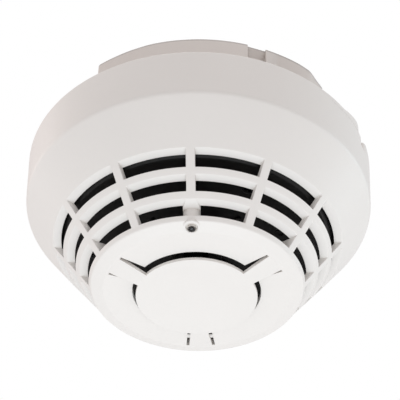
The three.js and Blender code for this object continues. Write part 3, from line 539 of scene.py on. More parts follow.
def make_materials():
    return {
        "cover_white": moulded_plastic("cover_white", (0.78, 0.754, 0.722), 0.42, 0.010, 0.86),
        # base_white is the cover's white made darker and warmer: painted shade for the base under the head's
        # rim.
        "base_white": moulded_plastic("base_white", (0.655, 0.608, 0.572), 0.5, 0.014, 0.72, ceiling_shade=0.5),
        "inner_black": black_plastic(),
        "clear_acrylic": clear_acrylic(),
        "contact_brass": metal("contact_brass", (0.72, 0.56, 0.30), 0.3, 2400),
        "screw_steel": metal("screw_steel", (0.62, 0.63, 0.64), 0.28, 3000),
        "screw_black": metal("screw_black", (0.03, 0.03, 0.032), 0.42, 3000),
        "board_green": board_laminate(),
        "chip_black": dark_epoxy("chip_black", (0.03, 0.03, 0.032), 0.55),
        "sensor_epoxy": dark_epoxy("sensor_epoxy", (0.18, 0.06, 0.025), 0.3),
    }


# ---- Outer cover ----

def grille_radius(z):
    """Outer radius of the grille's cone at a height."""
    share = (GRILLE_TOP - z) / (GRILLE_TOP - GRILLE_FOOT)
    return GRILLE_TOP_RADIUS + (GRILLE_FOOT_RADIUS - GRILLE_TOP_RADIUS) * share


def halfway(first, second):
    """Point midway between two points."""
    return tuple((a + b) / 2 for a, b in zip(first, second))


def cover_rows():
    """Closed outline of the cover's wall, and the places in it of each slot's four edges."""
    slope = math.atan2(GRILLE_TOP - GRILLE_FOOT, GRILLE_TOP_RADIUS - GRILLE_FOOT_RADIUS)
    inset = COVER_WALL / math.sin(slope)
    rim = rounded([
        (RIM_RADIUS - COVER_WALL, RIM_TOP),
        (RIM_RADIUS, RIM_TOP),
        (RIM_CORNER_RADIUS, RIM_CORNER),
        (GRILLE_TOP_RADIUS, GRILLE_TOP),
    ], [0, 0.15, CORNER_ROUNDING, 0], 6)[1:-1]
    half = len(rim) // 2
    rows = rim[:half] + [halfway(rim[half - 1], rim[half])] + rim[half:]
    rows += [halfway(rim[-1], (GRILLE_TOP_RADIUS, GRILLE_TOP))]
    outer_edges = []
    for top, bottom in SLOT_ROWS:
        outer_edges.append((len(rows), len(rows) + 1))
        rows += [(grille_radius(top), top), (grille_radius(bottom), bottom)]
    inner_face = FRONT_FACE + FRONT_WALL
    front = rounded([
        (GRILLE_FOOT_RADIUS, GRILLE_FOOT),
        (FRONT_CORNER_RADIUS, FRONT_CORNER),
        (FRONT_FACE_RADIUS, FRONT_FACE),
        (RING_HOLE_RADIUS, FRONT_FACE),
        (RING_HOLE_RADIUS, inner_face),
    ], [0, 0.9, 1.6, 0.25, 0])[1:]
    rows += front
    rows += [(26.0, inner_face)]
    inner_edges = []
    for top, bottom in reversed(SLOT_ROWS):
        inner_edges.insert(0, (len(rows) + 1, len(rows)))
        rows += [(grille_radius(bottom) - inset, bottom), (grille_radius(top) - inset, top - LEDGE_DIP)]
    rows += [(RIM_RADIUS - COVER_WALL, RIM_CORNER + 0.9)]
    rows += arc((RIM_RADIUS - COVER_WALL + 0.5, RIM_TOP - 0.5), 0.5, 180, 90, 2)
    return rows, outer_edges, inner_edges


def cover_azimuth(radius, column):
    """Azimuth of a mesh column: rib columns keep the rib's sides parallel at every radius."""
    rib, place = divmod(column, COLUMNS_PER_RIB)
    pitch = 360 / RIB_COUNT
    half_rib = math.degrees(math.asin(RIB_WIDTH / 2 / radius))
    if place == 0:
        return rib * pitch
    share = (place - 1) / (SLOT_COLUMNS + 1)
    return rib * pitch + half_rib + (pitch - 2 * half_rib) * share


def cover_body():
    """The turned wall with its three rows of slots left open, and every slot edge rounded."""
    rows, outer_edges, inner_edges = cover_rows()
    columns = RIB_COUNT * COLUMNS_PER_RIB
    vertices = []
    for radius, z in rows:
        for column in range(columns):
            x, y = polar(radius, cover_azimuth(radius, column))
            vertices.append((x, y, z))

    def corner(row, column):
        return (row % len(rows)) * columns + column % columns

    def is_open(slot_row, column):
        in_slot = 1 <= column % COLUMNS_PER_RIB <= SLOT_COLUMNS + 1
        return in_slot or (slot_row == LIGHT_ROW and column % columns in (0, columns - 1))

    slot_at = {}
    for slot_row, ((outer_top, _), (_, inner_bottom)) in enumerate(zip(outer_edges, inner_edges)):
        slot_at[outer_top] = slot_row
        slot_at[inner_bottom] = slot_row
    faces = []
    for row in range(len(rows)):
        for column in range(columns):
            if row in slot_at and is_open(slot_at[row], column):
                continue
            faces.append([corner(row, column), corner(row, column + 1),
                          corner(row + 1, column + 1), corner(row + 1, column)])
    rims = set()
    for slot_row, ((outer_top, outer_bottom), (inner_top, inner_bottom)) in enumerate(
            zip(outer_edges, inner_edges)):
        for column in range(columns):
            if is_open(slot_row, column):
                for outer, inner in ((outer_top, inner_top), (outer_bottom, inner_bottom)):
                    faces.append([corner(outer, column), corner(outer, column + 1),
                                  corner(inner, column + 1), corner(inner, column)])
                    rims.add((corner(outer, column), corner(outer, column + 1)))
                    rims.add((corner(inner, column), corner(inner, column + 1)))
            if is_open(slot_row, column) != is_open(slot_row, column - 1):
                side = [corner(outer_top, column), corner(outer_bottom, column),
                        corner(inner_bottom, column), corner(inner_top, column)]
                faces.append(side)
                rims.update(zip(side, side[1:] + side[:1]))
    obj = new_object("cover_moulding", vertices, faces)
    round_edges(obj, {frozenset(edge) for edge in rims}, EDGE_ROUNDING)
    return obj


def arm_outline(end_radius, margin):
    """Flat outline of an arm out to a radius, widened by a margin on each side."""
    tip, root = ARM_TIP_HALF_WIDTH + margin, ARM_ROOT_HALF_WIDTH + margin
    return [(ARM_TIP_RADIUS, -tip), (end_radius, -root), (end_radius, root), (ARM_TIP_RADIUS, tip)]


def guard_arm(azimuth):
    """Sloping arm between the front ring and the guard disc."""
    tip_roof = DISC_FACE + DISC_THICKNESS
    root_roof = FRONT_FACE + DISC_THICKNESS + 0.3
    bar = fin("arm", [
        (ARM_TIP_RADIUS, DISC_FACE),
        (DISC_RADIUS - 0.2, DISC_FACE),
        (ARM_ROOT_RADIUS, FRONT_FACE),
        (ARM_ROOT_RADIUS, root_roof),
        (DISC_RADIUS, tip_roof),
        (ARM_TIP_RADIUS, tip_roof),
    ], 6, azimuth)
    outline = slab("arm_outline", arm_outline(ARM_ROOT_RADIUS, 0), DISC_FACE - 1, FRONT_FACE + 4, azimuth)
    return combine(bar, [outline], "INTERSECT")


def guard_disc():
    """Central disc that shields the heat sensor from knocks."""
    roof = DISC_FACE + DISC_THICKNESS
    edge = rounded(rectangle(0, DISC_RADIUS, DISC_FACE, roof), [0, 0.22, 0.15, 0], 2)
    return turned("guard", edge)


def arm_window(azimuth):
    """Hole in the ring that leaves a slit on each side of an arm."""
    return slab("arm_window", arm_outline(SLIT_END_RADIUS, SLIT_WIDTH),
                FRONT_FACE - 1, FRONT_FACE + FRONT_WALL + 1, azimuth)


def arm_web(azimuth):
    """Web behind the grille's foot where an arm is rooted."""
    foot = FRONT_FACE + FRONT_WALL - 0.5
    return fin("web", [
        (ARM_WEB_INNER, foot), (ARM_WEB_FOOT_OUTER, foot),
        (ARM_WEB_TOP_OUTER, ARM_WEB_TOP), (ARM_WEB_INNER, ARM_WEB_TOP),
    ], RIB_WIDTH / 2, azimuth)


def light_boss():
    """Round boss around the status light, from the second slat down to the front corner."""
    foot, rounding = LIGHT_BOSS_FOOT, LIGHT_BOSS_ROUNDING
    profile = [(0, foot)] + arc((LIGHT_BOSS_RADIUS - rounding, foot + rounding), rounding, -90, 0, 3)
    profile += [(LIGHT_BOSS_RADIUS, LIGHT_BOSS_TOP), (0, LIGHT_BOSS_TOP + 1)]
    return rod("boss", profile, 0, -LIGHT_RADIUS_FROM_AXIS, 40)


def boss_web():
    """Flared web that ties the light boss to the slat above it."""
    slat_foot = SLOT_ROWS[LIGHT_ROW][0]
    wall = LIGHT_BOSS_RADIUS
    inner, front, tip = BOSS_WEB_INNER, LIGHT_RADIUS_FROM_AXIS + wall, BOSS_WEB_TIP
    side = fin("boss_web", [
        (tip, slat_foot),
        (front, slat_foot - BOSS_WEB_DROP),
        (inner, slat_foot - BOSS_WEB_DROP),
        (inner, LIGHT_BOSS_TOP),
        (BOSS_WEB_TIP_TOP, LIGHT_BOSS_TOP),
    ], wall + 1, 0)
    half_rib = RIB_WIDTH / 2
    flare = slab("flare", [
        (inner, -wall), (front, -wall), (tip, -half_rib), (tip, half_rib), (front, wall), (inner, wall),
    ], LIGHT_BOSS_FOOT, LIGHT_BOSS_TOP + 1, 0)
    return combine(side, [flare], "INTERSECT")


def light_mouth():
    """Cutter for the status light's mouth, with a chamfer and a floor."""
    mouth = LIGHT_MOUTH_RADIUS
    profile = [(0, FRONT_FACE - 2), (mouth + 1.1, FRONT_FACE - 2), (mouth + 0.15, FRONT_FACE + 0.35),
               (mouth, FRONT_FACE + 0.6), (mouth, LIGHT_MOUTH_FLOOR), (0, LIGHT_MOUTH_FLOOR)]
    return rod("mouth", profile, 0, -LIGHT_RADIUS_FROM_AXIS, 40)


def light_sleeve():
    """Sleeve around the end of the light pipe."""
    return plain_rod("sleeve", LIGHT_DOME_RADIUS, LIGHT_SLEEVE_FOOT, LIGHT_MOUTH_FLOOR + 0.5, 0,
                     -LIGHT_PIPE_FROM_AXIS, 40)


def light_bore():
    """Cutter for the light pipe's bore."""
    return plain_rod("bore", LIGHT_PIPE_RADIUS + FIT_GAP / 2, FRONT_FACE - 2, LIGHT_BOSS_TOP + 2, 0,
                     -LIGHT_PIPE_FROM_AXIS, 32)


def notch_pad():
    """Thicker wall behind the alignment notch."""
    inside = RIM_RADIUS - COVER_WALL
    return sector("pad", inside - NOTCH_PAD_THICKNESS, inside + 0.2, RIM_TOP - NOTCH_DEPTH - 2,
                  RIM_TOP - 0.3, NOTCH_FROM - NOTCH_PAD_MARGIN, NOTCH_TO + NOTCH_PAD_MARGIN, 0.3)


def raised_mark():
    """Mark that rises gently out of the rim's edge and stands behind the notch too."""
    inner, outer, edge = RIM_RADIUS - COVER_WALL + 0.3, RIM_RADIUS - 0.02, MARK_ROUNDING
    low = RIM_TOP - 1.5
    steps = 18
    sections = []
    for i in range(steps + 1):
        azimuth = MARK_FROM + (MARK_TO - MARK_FROM) * i / steps
        share = min(1.0, (azimuth - MARK_FROM) / MARK_RISE)
        top = RIM_TOP - MARK_ROOT + (MARK_HEIGHT + MARK_ROOT) * share * share * (3 - 2 * share)
        section = [(inner, low), (outer, low)] + arc((outer - edge, top - edge), edge, 0, 90, 4)
        section += arc((inner + edge, top - edge), edge, 90, 180, 3)
        sections.append((azimuth, section))
    return swept("mark", sections)


def alignment_notch():
    """Cutter for the notch: a gentle slope and a square step at its near end, a round far end."""
    floor = RIM_RADIUS - NOTCH_CUT
    outside = RIM_RADIUS + 2
    slope_from, end = NOTCH_FROM - NOTCH_NEAR_SLOPE, NOTCH_TO + NOTCH_FAR_ROUNDING
    outline = [polar(RIM_RADIUS + 0.05, slope_from), polar(RIM_RADIUS - 0.5, NOTCH_FROM - 0.1)]
    outline += [polar(floor, NOTCH_FROM + (NOTCH_TO - NOTCH_FROM) * i / 8) for i in range(9)]
    for i in range(1, 9):
        angle = math.radians(90 * i / 8)
        outline.append(polar(floor + NOTCH_CUT * math.sin(angle),
                             NOTCH_TO + NOTCH_FAR_ROUNDING * (1 - math.cos(angle))))
    outline += [polar(outside, end), polar(outside, slope_from)]
    return prism("notch", outline, RIM_TOP - NOTCH_DEPTH, RIM_TOP + MARK_HEIGHT + 1)


def outer_cover(material):
    """The head's white moulding: rim, shoulder, grille, front ring, arms and guard disc."""
    cover = cover_body()
    cut(cover, [arm_window(azimuth) for azimuth in ARM_AZIMUTHS])
    join(cover, [arm_web(azimuth) for azimuth in ARM_AZIMUTHS])
    guard = guard_disc()
    join(guard, [guard_arm(azimuth) for azimuth in ARM_AZIMUTHS])
    join(cover, [guard, light_boss(), boss_web()])
    cut(cover, [light_mouth()])
    join(cover, [light_sleeve()])
    cut(cover, [light_bore()])
    join(cover, [notch_pad(), raised_mark()])
    cut(cover, [alignment_notch()])
    finish_piece(cover, material, "head", ["outer_cover"], 28)


# ---- Base ----

def lobe_radius(offset):
    """Radius of a lobe's outline at an angle from its centre: a round near end, a tapering far end."""
    near_end = LOBE_OUTLINE[0][0]
    share = min(1.0, max(0.0, (offset - near_end) / LOBE_END_SPAN))
    for (start, first), (end, last) in zip(LOBE_OUTLINE, LOBE_OUTLINE[1:]):
        if start <= offset <= end:
            radius = first + (last - first) * (offset - start) / (end - start)
            return BASE_RADIUS + (radius - BASE_RADIUS) * share * share * (3 - 2 * share)
    return BASE_RADIUS


def lobe_offsets(azimuth):
    """Angles from each lobe's centre to an azimuth."""
    return [(azimuth - lobe + 180) % 360 - 180 for lobe in LOBE_AZIMUTHS]


def base_radius(azimuth, z):
    """Radius of the base's outline at a height: a disc with three lobes whose far sides lean in."""
    radius = max(lobe_radius(offset) for offset in lobe_offsets(azimuth))
    lean = 0.0
    for offset in lobe_offsets(azimuth):
        if LEAN_FROM < offset < LOBE_OUTLINE[-1][0]:
            lean = LEAN * min(1.0, (offset - LEAN_FROM) / (LEAN_TO - LEAN_FROM)) * z / BASE_SKIRT_FOOT
    return max(BASE_RADIUS, radius - lean)


def base_shell():
    """Tray with a flat back and a skirt that follows the outline, edges rounded."""
    columns = 480
    profile = rounded([
        (0.0, 0.0),
        (0.0, BASE_SKIRT_FOOT),
        (-BASE_SKIRT_WALL, BASE_SKIRT_FOOT),
        (-BASE_SKIRT_WALL, -BASE_BACK_WALL),
    ], [0.12, 0.4, 0.4, 0.8], 2)
    vertices, faces = [], []
    for offset, z in profile:
        for i in range(columns):
            azimuth = 360 * i / columns
            x, y = polar(base_radius(azimuth, z) + offset, azimuth)
            vertices.append((x, y, z))
    for k in range(len(profile) - 1):
        for i in range(columns):
            j = (i + 1) % columns
            faces.append([k * columns + i, k * columns + j, (k + 1) * columns + j, (k + 1) * columns + i])
    last = (len(profile) - 1) * columns
    faces.append(list(range(columns)))
    faces.append(list(range(last, last + columns)))
    return new_object("base_moulding", vertices, faces)


def bayonet_ledge(azimuth):
    """Ledge with the stop that ends the head's travel."""
    outer = LOBE_RADIUS - BASE_SKIRT_WALL + 0.7
    ledge = sector("ledge", LEDGE_INNER_RADIUS, outer, BASE_SKIRT_FOOT, LEDGE_TOP,
                   azimuth - LEDGE_HALF_SPAN, azimuth + LEDGE_HALF_SPAN, 0.6)
    stop = sector("stop", LEDGE_INNER_RADIUS, outer, LEDGE_TOP - 0.2, -1,
                  azimuth + LUG_HALF_SPAN + 1, azimuth + LEDGE_HALF_SPAN, 0.6)
    return join(ledge, [stop])


def terminal_pedestal(azimuth):
    """Raised seat under a terminal."""
    near, far = TERMINAL_RADIUS - PEDESTAL_HALF_WIDTH, TERMINAL_RADIUS + PEDESTAL_HALF_WIDTH
    outline = rounded(rectangle(near, far, PEDESTAL_FROM, PEDESTAL_TO), [0.8] * 4)
    return slab("pedestal", outline, TERMINAL_SEAT, -1, azimuth)


def terminal_wall(azimuth, side):
    """Low wall that keeps a terminal's clamp square."""
    reaches = (TERMINAL_WALL_NEAR, TERMINAL_WALL_FAR)
    near, far = sorted(TERMINAL_RADIUS + side * reach for reach in reaches)
    return slab("wall", rectangle(near, far, TERMINAL_WALL_FROM, TERMINAL_WALL_TO),
                TERMINAL_SEAT - 1.6, TERMINAL_SEAT + 0.2, azimuth)


def terminal_bore(azimuth):
    """Cutter for the blind hole under a terminal's screw."""
    x, y = polar(TERMINAL_RADIUS, azimuth)
    return plain_rod("pilot", TERMINAL_BORE_RADIUS, TERMINAL_SEAT - 1, TERMINAL_BORE_TOP, x, y, 20)


def cable_entry(centre):
    """Cutter for a curved opening in the back."""
    outline = sector_outline(CABLE_INNER, CABLE_OUTER, centre - CABLE_HALF_SPAN,
                             centre + CABLE_HALF_SPAN, 2.0)
    return prism("cable_entry", outline, -4, 1)


def fixing_slot(side):
    """Cutter for a slot with round ends through the back, its long side along X."""
    radius = FIXING_WIDTH / 2
    reach = (FIXING_LENGTH - FIXING_WIDTH) / 2
    x = side * FIXING_SPACING / 2
    outline = arc((x + reach, 0), radius, -90, 90, 12) + arc((x - reach, 0), radius, 90, 270, 12)
    return prism("fixing", outline, -4, 1)


def back_details():
    """Cutters for the shallow marks in the flat back: grooves, ejector-pin marks and drill guides."""
    tools = [turned("groove", rectangle(inner, outer, 1, -depth))
             for inner, outer, depth in BACK_GROOVES]
    for azimuth in range(30, 390, 60):
        x, y = polar(EJECTOR_RING, azimuth)
        tools.append(plain_rod("ejector", EJECTOR_RADIUS, -EJECTOR_DEPTH, 1, x, y, 28))
    for azimuth in (0, 180):
        x, y = polar(DRILL_GUIDE_RING, azimuth)
        tools.append(plain_rod("guide", DRILL_GUIDE_RADIUS, -DRILL_GUIDE_DEPTH, 1, x, y, 24))
    return tools


def lock_axle(radius, half_length):
    """Cylinder lying across the radius at the lock lever's pivot."""
    count = 20
    circle = arc((LOCK_PIVOT_RADIUS, LOCK_PIVOT_Z), radius, 0, 360 * (count - 1) / count, count - 1)
    return fin("axle", circle, half_length, LOCK_AZIMUTH)


def lock_lug(side):
    """Lug that holds one end of the lever's pin."""
    near = side * (LOCK_WIDTH / 2 + FIT_GAP)
    near, far = sorted((near, near + side * LUG_THICKNESS))
    inner, outer = LOCK_PIVOT_RADIUS - 2.6, LOBE_RADIUS - BASE_SKIRT_WALL + 0.8
    return slab("lug", rectangle(inner, outer, near, far),
                LOCK_PIVOT_Z - 2.2, -BASE_BACK_WALL / 2, LOCK_AZIMUTH)


def lock_recess():
    """Cutter for the shallow recess outside the lever, with its sloping lip up to the back's edge."""
    outside = LOBE_RADIUS + 3
    return fin("recess", [
        (RECESS_RADIUS, BASE_SKIRT_FOOT - 1), (outside, BASE_SKIRT_FOOT - 1), (outside, 1),
        (RECESS_LIP_RADIUS, 1), (RECESS_LIP_RADIUS, RECESS_LIP_HIGH), (RECESS_RADIUS, RECESS_LIP_LOW)],
        LOCK_WIDTH / 2 + FIT_GAP, LOCK_AZIMUTH)


def recess_pad():
    """Thicker wall behind the recess, above the lever's window."""
    half = LOCK_WIDTH / 2 + 1.5
    inner, outer = RECESS_PAD_INNER, LOBE_RADIUS - BASE_SKIRT_WALL + 0.8
    return slab("pad", rectangle(inner, outer, -half, half),
                LOCK_WINDOW_TOP, -BASE_BACK_WALL / 2, LOCK_AZIMUTH)


def lock_window():
    """Cutter for the lever's window in the skirt."""
    half = LOCK_WIDTH / 2 + FIT_GAP
    inner, outer = BASE_RADIUS - 4, LOBE_RADIUS + 1
    return slab("window", rectangle(inner, outer, -half, half),
                BASE_SKIRT_FOOT - 1, LOCK_WINDOW_TOP, LOCK_AZIMUTH)


def base_housing(material):
    """Ceiling base: tray, bayonet ledges, terminal seats, openings in the back and the lever's window."""
    base = base_shell()
    join(base, [bayonet_ledge(azimuth) for azimuth in LOBE_AZIMUTHS] + [recess_pad()])
    join(base, [terminal_pedestal(azimuth) for azimuth in TERMINAL_AZIMUTHS])
    join(base, [terminal_wall(azimuth, side) for azimuth in TERMINAL_AZIMUTHS for side in (-1, 1)])
    tools = [terminal_bore(azimuth) for azimuth in TERMINAL_AZIMUTHS]
    tools += [cable_entry(0), cable_entry(180)]
    tools += [fixing_slot(-1), fixing_slot(1)]
    tools += [lock_window(), lock_recess()]
    cut(base, tools + back_details())
    join(base, [lock_lug(-1), lock_lug(1)])
    cut(base, [lock_axle(LOCK_PIN_RADIUS + FIT_GAP, LOCK_WIDTH / 2 + 1.3)])
    finish_piece(base, material, "base", ["base_housing"], 35)


def lock_lever(material):
    """Flat-faced lever in the skirt window; its tooth points at the carrier's notched ring."""
    top = LOCK_PIVOT_Z + 1.6
    eye_inner = LOCK_PIVOT_RADIUS - 1.7
    blade = fin("lock_lever_moulding", rounded([
        (LEVER_INNER, LEVER_FOOT), (LEVER_OUTER, LEVER_FOOT), (LEVER_OUTER, top), (eye_inner, top),
        (eye_inner, LOCK_PIVOT_Z - 1.6), (LEVER_INNER, LOCK_PIVOT_Z - 3)],
        [0.3, 0.6, 0.7, 0.8, 0.8, 0.6], 3), LOCK_WIDTH / 2, LOCK_AZIMUTH)
    add_bevel(blade, 0.15, 60)
    apply_modifiers(blade)
    tooth = fin("tooth", [
        (LEVER_INNER - 0.5, LEVER_FOOT + 1.2), (LEVER_INNER - 0.5, LEVER_FOOT),
        (LEVER_INNER + 0.4, LEVER_FOOT), (LEVER_INNER + 0.4, LEVER_FOOT + 2)],
        LOCK_WIDTH / 2 - 0.8, LOCK_AZIMUTH)
    join(blade, [tooth])
    cut(blade, [lock_axle(LOCK_PIN_RADIUS + FIT_GAP, LOCK_WIDTH)])
    finish_piece(blade, material, "lock", ["lock_lever"])


# ---- Inner parts that show through the openings ----

def plate_profile():
    """Outline of the black dish and its guard tube, as (radius, z)."""
    face = SENSOR_PLATE_FACE
    roof = face + SENSOR_PLATE_WALL
    inner, outer, foot = GUARD_TUBE_INNER, GUARD_TUBE_OUTER, GUARD_TUBE_FOOT
    low_face = face - PLATE_STEP_DROP
    return [
        (inner, roof), (inner, foot + 0.2), (inner + 0.2, foot), (outer - 0.2, foot), (outer, foot + 0.2),
        (outer, face - 0.8), (outer + 0.8, face), (PLATE_STEP_FROM, face), (PLATE_STEP_TO, low_face),
        (PLATE_RIM_FROM, low_face), (PLATE_RIM_FROM + 0.4, low_face + 0.2), (PLATE_RIM_TO, face - 0.1),
        (SENSOR_PLATE_RADIUS, face + 0.4), (FLANGE_OUTER, FLANGE_FOOT), (FLANGE_OUTER, FLANGE_TOP),
        (FLANGE_INNER, FLANGE_TOP), (FLANGE_INNER, FLANGE_FOOT + 0.6), (SENSOR_PLATE_RADIUS - 1.6, roof),
    ]


def sensor_plate(material):
    """Black dish with raised rings, radial ribs and the windowed sensor guard tube."""
    face = SENSOR_PLATE_FACE
    roof = face + SENSOR_PLATE_WALL
    plate = turned("sensor_plate_moulding", plate_profile())
    cut(plate, [slab("window", rectangle(5, 10, -4, 4), GUARD_TUBE_FOOT + 2, face - 4, azimuth)
                for azimuth in (0, 120, 240)])
    posts, holes = [], []
    for azimuth in HEAD_SCREW_AZIMUTHS:
        x, y = polar(HEAD_SCREW_RADIUS_FROM_AXIS, azimuth)
        posts.append(plain_rod("post", POST_RADIUS, roof - 0.3, POST_TOP, x, y, 24))
        holes.append(plain_rod("hole", POST_BORE_RADIUS, face - 3, POST_TOP + 1.8, x, y, 20))
    holes.append(plain_rod("hole", POST_BORE_RADIUS, face - 3, roof + 1, 0, -LIGHT_RADIUS_FROM_AXIS, 20))
    ribs = [slab("rib", rectangle(10, 20, -0.5, 0.5), face - 0.6, face + 0.3, azimuth)
            for azimuth in range(0, 360, 45)]
    rings = []
    for azimuth in PLATE_RING_AZIMUTHS:
        x, y = polar(PLATE_RING_FROM_AXIS, azimuth)
        rings.append(rod("ring", rectangle(PLATE_RING_INNER, PLATE_RING_OUTER, face - 1, face), x, y, 24))
    join(plate, posts + ribs + rings)
    cut(plate, holes)
    finish_piece(plate, material, "head", ["sensor_plate"], 40)


def screw(node, x, y, body, slot, materials, head_foot, head_height, head_radius, shank_radius, tip):
    """Pan-head screw with a cross recess and rolled threads, pointing up."""
    head_top = head_foot + head_height
    crown = arc((head_radius - 0.7, head_foot + 0.7), 0.7, -90, 0, 4)
    profile = [(0, head_foot)] + crown + [(head_radius, head_top), (shank_radius, head_top)]
    z = head_top + 0.6
    while z < tip - 1.2:
        profile += [(shank_radius - THREAD_DEPTH, z), (shank_radius, z + 0.3)]
        z += THREAD_PITCH
    profile += [(shank_radius * 0.7, tip), (0, tip)]
    obj = rod(f"{node}_pan", profile, x, y, 28)
    arms = []
    for half_x, half_y in ((head_radius * 0.6, 0.38), (0.38, head_radius * 0.6)):
        outline = rectangle(x - half_x, x + half_x, y - half_y, y + half_y)
        arms.append(prism("cross", outline, head_foot - 1, head_foot + head_height * 0.55))
    cut(obj, arms)
    finish_piece(obj, materials[slot], body, [node])


def screws(materials):
    """Head screws under the sensor plate and terminal screws in the base."""
    for i, azimuth in enumerate(HEAD_SCREW_AZIMUTHS, 1):
        x, y = polar(HEAD_SCREW_RADIUS_FROM_AXIS, azimuth)
        head_top = SENSOR_PLATE_FACE - PLATE_STEP_DROP - FIT_GAP
        screw(f"head_screw_{i}", x, y, "head", "screw_black", materials, head_top - 1.6, 1.6, 2.6, 1.4, -21)
    for i, azimuth in enumerate(TERMINAL_AZIMUTHS, 1):
        x, y = polar(TERMINAL_RADIUS, azimuth)
        head_top = TERMINAL_SEAT - 3 * FIT_GAP - 0.8 - 1.3
        screw(f"terminal_screw_{i}", x, y, f"screw_{i}", "screw_steel", materials,
              head_top - 1.8, 1.8, 2.8, 1.4, -2)


def light_pipe(material):
    """Rod from the emitter down to a domed cap over the sleeve, tinted dark grey as painted shade."""
    dome, shaft, top = LIGHT_DOME_RADIUS, LIGHT_PIPE_RADIUS, LIGHT_PIPE_TOP
    seat = LIGHT_SLEEVE_FOOT - 0.05
    height = seat - LIGHT_DOME_TIP
    profile = [(dome * math.sin(a), seat - height * math.cos(a))
               for a in (math.radians(9 * i) for i in range(11))]
    profile += [(shaft, seat), (shaft, top + 0.2), (shaft - 0.2, top), (0, top)]
    obj = rod("light_pipe_rod", profile, 0, -LIGHT_PIPE_FROM_AXIS, 40)
    finish_piece(obj, material, "head", ["light_pipe"], 50)


def keep_node(name, material, width):
    """Show a CAD node as it is, with its edges rounded and a finished material."""
    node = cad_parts[name]
    node.data.materials.clear()
    node.data.materials.append(material)
    for polygon in node.data.polygons:
        polygon.material_index = 0
    weld = node.modifiers.new("weld", "WELD")
    weld.merge_threshold = 1e-6
    add_bevel(node, width, 32)


def inner_nodes(materials):
    """CAD nodes that only show through the openings."""
    pieces = [
        ("carrier", "cover_white", 0.25),
        ("lock_pin", "screw_steel", 0.1),
        ("circuit_board", "board_green", 0.1),
        ("led_emitter", "clear_acrylic", 0.15),
        ("controller_chip", "chip_black", 0.15),
        ("storage_capacitor", "chip_black", 0.3),
        ("reference_thermistor", "sensor_epoxy", 0.2),
        ("thermistor_bead", "sensor_epoxy", 0.05),
    ]
    pieces += [(f"thermistor_lead_{i}", "screw_steel", 0.04) for i in (1, 2)]
    for i in range(1, 5):
        pieces += [
            (f"terminal_plate_{i}", "contact_brass", 0.12),
            (f"contact_blade_{i}", "contact_brass", 0.12),
            (f"clamp_washer_{i}", "screw_steel", 0.15),
        ]
    for name, slot, width in pieces:
        keep_node(name, materials[slot], width)


# ---- Stage, light and camera ----

def make_floor():
    """Plain pale floor well below the object and the camera."""
    half, height = 9000.0, -900.0
    floor = new_object("floor", [(-half, -half, height), (half, -half, height), (half, half, height),
                                 (-half, half, height)], [[0, 1, 2, 3]])
    n = Nodes("pale_floor")
    tone = n.blend(n.noise(3, 2.0), (0.93, 0.93, 0.925, 1), (0.96, 0.96, 0.955, 1))
    n.shade(Base_Color=tone, Roughness=0.9)
    floor.data.materials.append(n.material)


def make_world():
    """White surroundings for the camera and a softer grey light for the object."""
    world = bpy.data.worlds.new("studio")
    world.use_nodes = True
    bpy.context.scene.world = world
    tree = world.node_tree
    tree.nodes.clear()
    path = tree.nodes.new("ShaderNodeLightPath")
    seen = tree.nodes.new("ShaderNodeBackground")
    seen.inputs["Color"].default_value = (1, 1, 1, 1)
    seen.inputs["Strength"].default_value = 1.0
    light = tree.nodes.new("ShaderNodeBackground")
    light.inputs["Color"].default_value = (1.0, 0.96, 0.966, 1)
    light.inputs["Strength"].default_value = 0.69
    mix = tree.nodes.new("ShaderNodeMixShader")
    output = tree.nodes.new("ShaderNodeOutputWorld")
    tree.links.new(path.outputs["Is Camera Ray"], mix.inputs[0])
    tree.links.new(light.outputs[0], mix.inputs[1])
    tree.links.new(seen.outputs[0], mix.inputs[2])
    tree.links.new(mix.outputs[0], output.inputs[0])


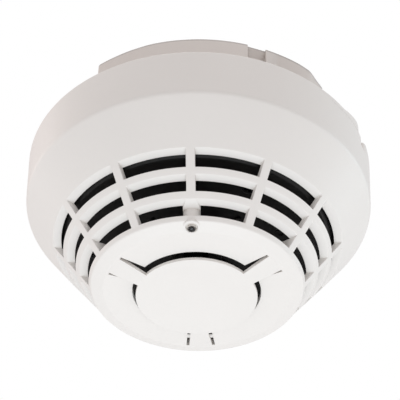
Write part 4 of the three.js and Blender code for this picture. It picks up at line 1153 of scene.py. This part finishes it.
def softbox(name, place, aim, size, power, colour=(1, 1, 1)):
    """Square area light at a place, aimed at a point; it isn't seen itself."""
    data = bpy.data.lights.new(name, "AREA")
    data.shape = "SQUARE"
    data.size = size * MM
    data.energy = power
    data.color = colour
    obj = bpy.data.objects.new(name, data)
    bpy.context.scene.collection.objects.link(obj)
    obj.location = Vector(place) * MM
    direction = (Vector(aim) - Vector(place)).normalized()
    obj.rotation_mode = "QUATERNION"
    obj.rotation_quaternion = direction.to_track_quat("-Z", "Y")
    obj.visible_camera = False


def make_lights():
    """Soft light from below, both sides and behind; the floor throws back what comes from above."""
    centre = (0, 0, -30)
    softbox("below", (0, 0, -800), centre, 600, 2.25, (0.80, 0.92, 1.0))
    softbox("left", (-850, 200, 350), centre, 500, 1.8, (1.0, 0.89, 0.85))
    softbox("right", (860, 200, 200), centre, 500, 1.8, (0.72, 0.92, 1.0))
    softbox("behind", (560, 500, -200), centre, 500, 0.35)
    softbox("above", (0, 0, 800), centre, 600, 8.0)


def make_camera():
    """Camera with a slight roll, looking up at the object."""
    data = bpy.data.cameras.new("camera")
    data.sensor_width = 36.0
    data.lens = CAMERA_LENS
    data.clip_start = 0.01
    data.clip_end = 50.0
    camera = bpy.data.objects.new("camera", data)
    bpy.context.scene.collection.objects.link(camera)
    elevation = math.radians(CAMERA_ELEVATION)
    turn = Matrix.Rotation(math.radians(CAMERA_AZIMUTH), 3, "Z")
    right = turn @ Vector((1, 0, 0))
    ahead = turn @ Vector((0, math.cos(elevation), math.sin(elevation)))
    up = right.cross(ahead)
    roll = math.radians(CAMERA_ROLL)
    rolled_right = right * math.cos(roll) + up * math.sin(roll)
    rolled_up = up * math.cos(roll) - right * math.sin(roll)
    basis = Matrix((rolled_right, rolled_up, -ahead)).transposed()
    camera.matrix_world = Matrix.Translation(Vector(CAMERA_AT) * MM) @ basis.to_4x4()
    bpy.context.scene.camera = camera


# ---- Build ----

def build():
    """Camera, every piece, then the floor and the light."""
    make_camera()
    materials = make_materials()
    outer_cover(materials["cover_white"])
    base_housing(materials["base_white"])
    lock_lever(materials["cover_white"])
    sensor_plate(materials["inner_black"])
    screws(materials)
    light_pipe(materials["clear_acrylic"])
    inner_nodes(materials)
    make_floor()
    make_world()
    make_lights()
    bpy.context.scene.view_settings.view_transform = "Standard"


build()
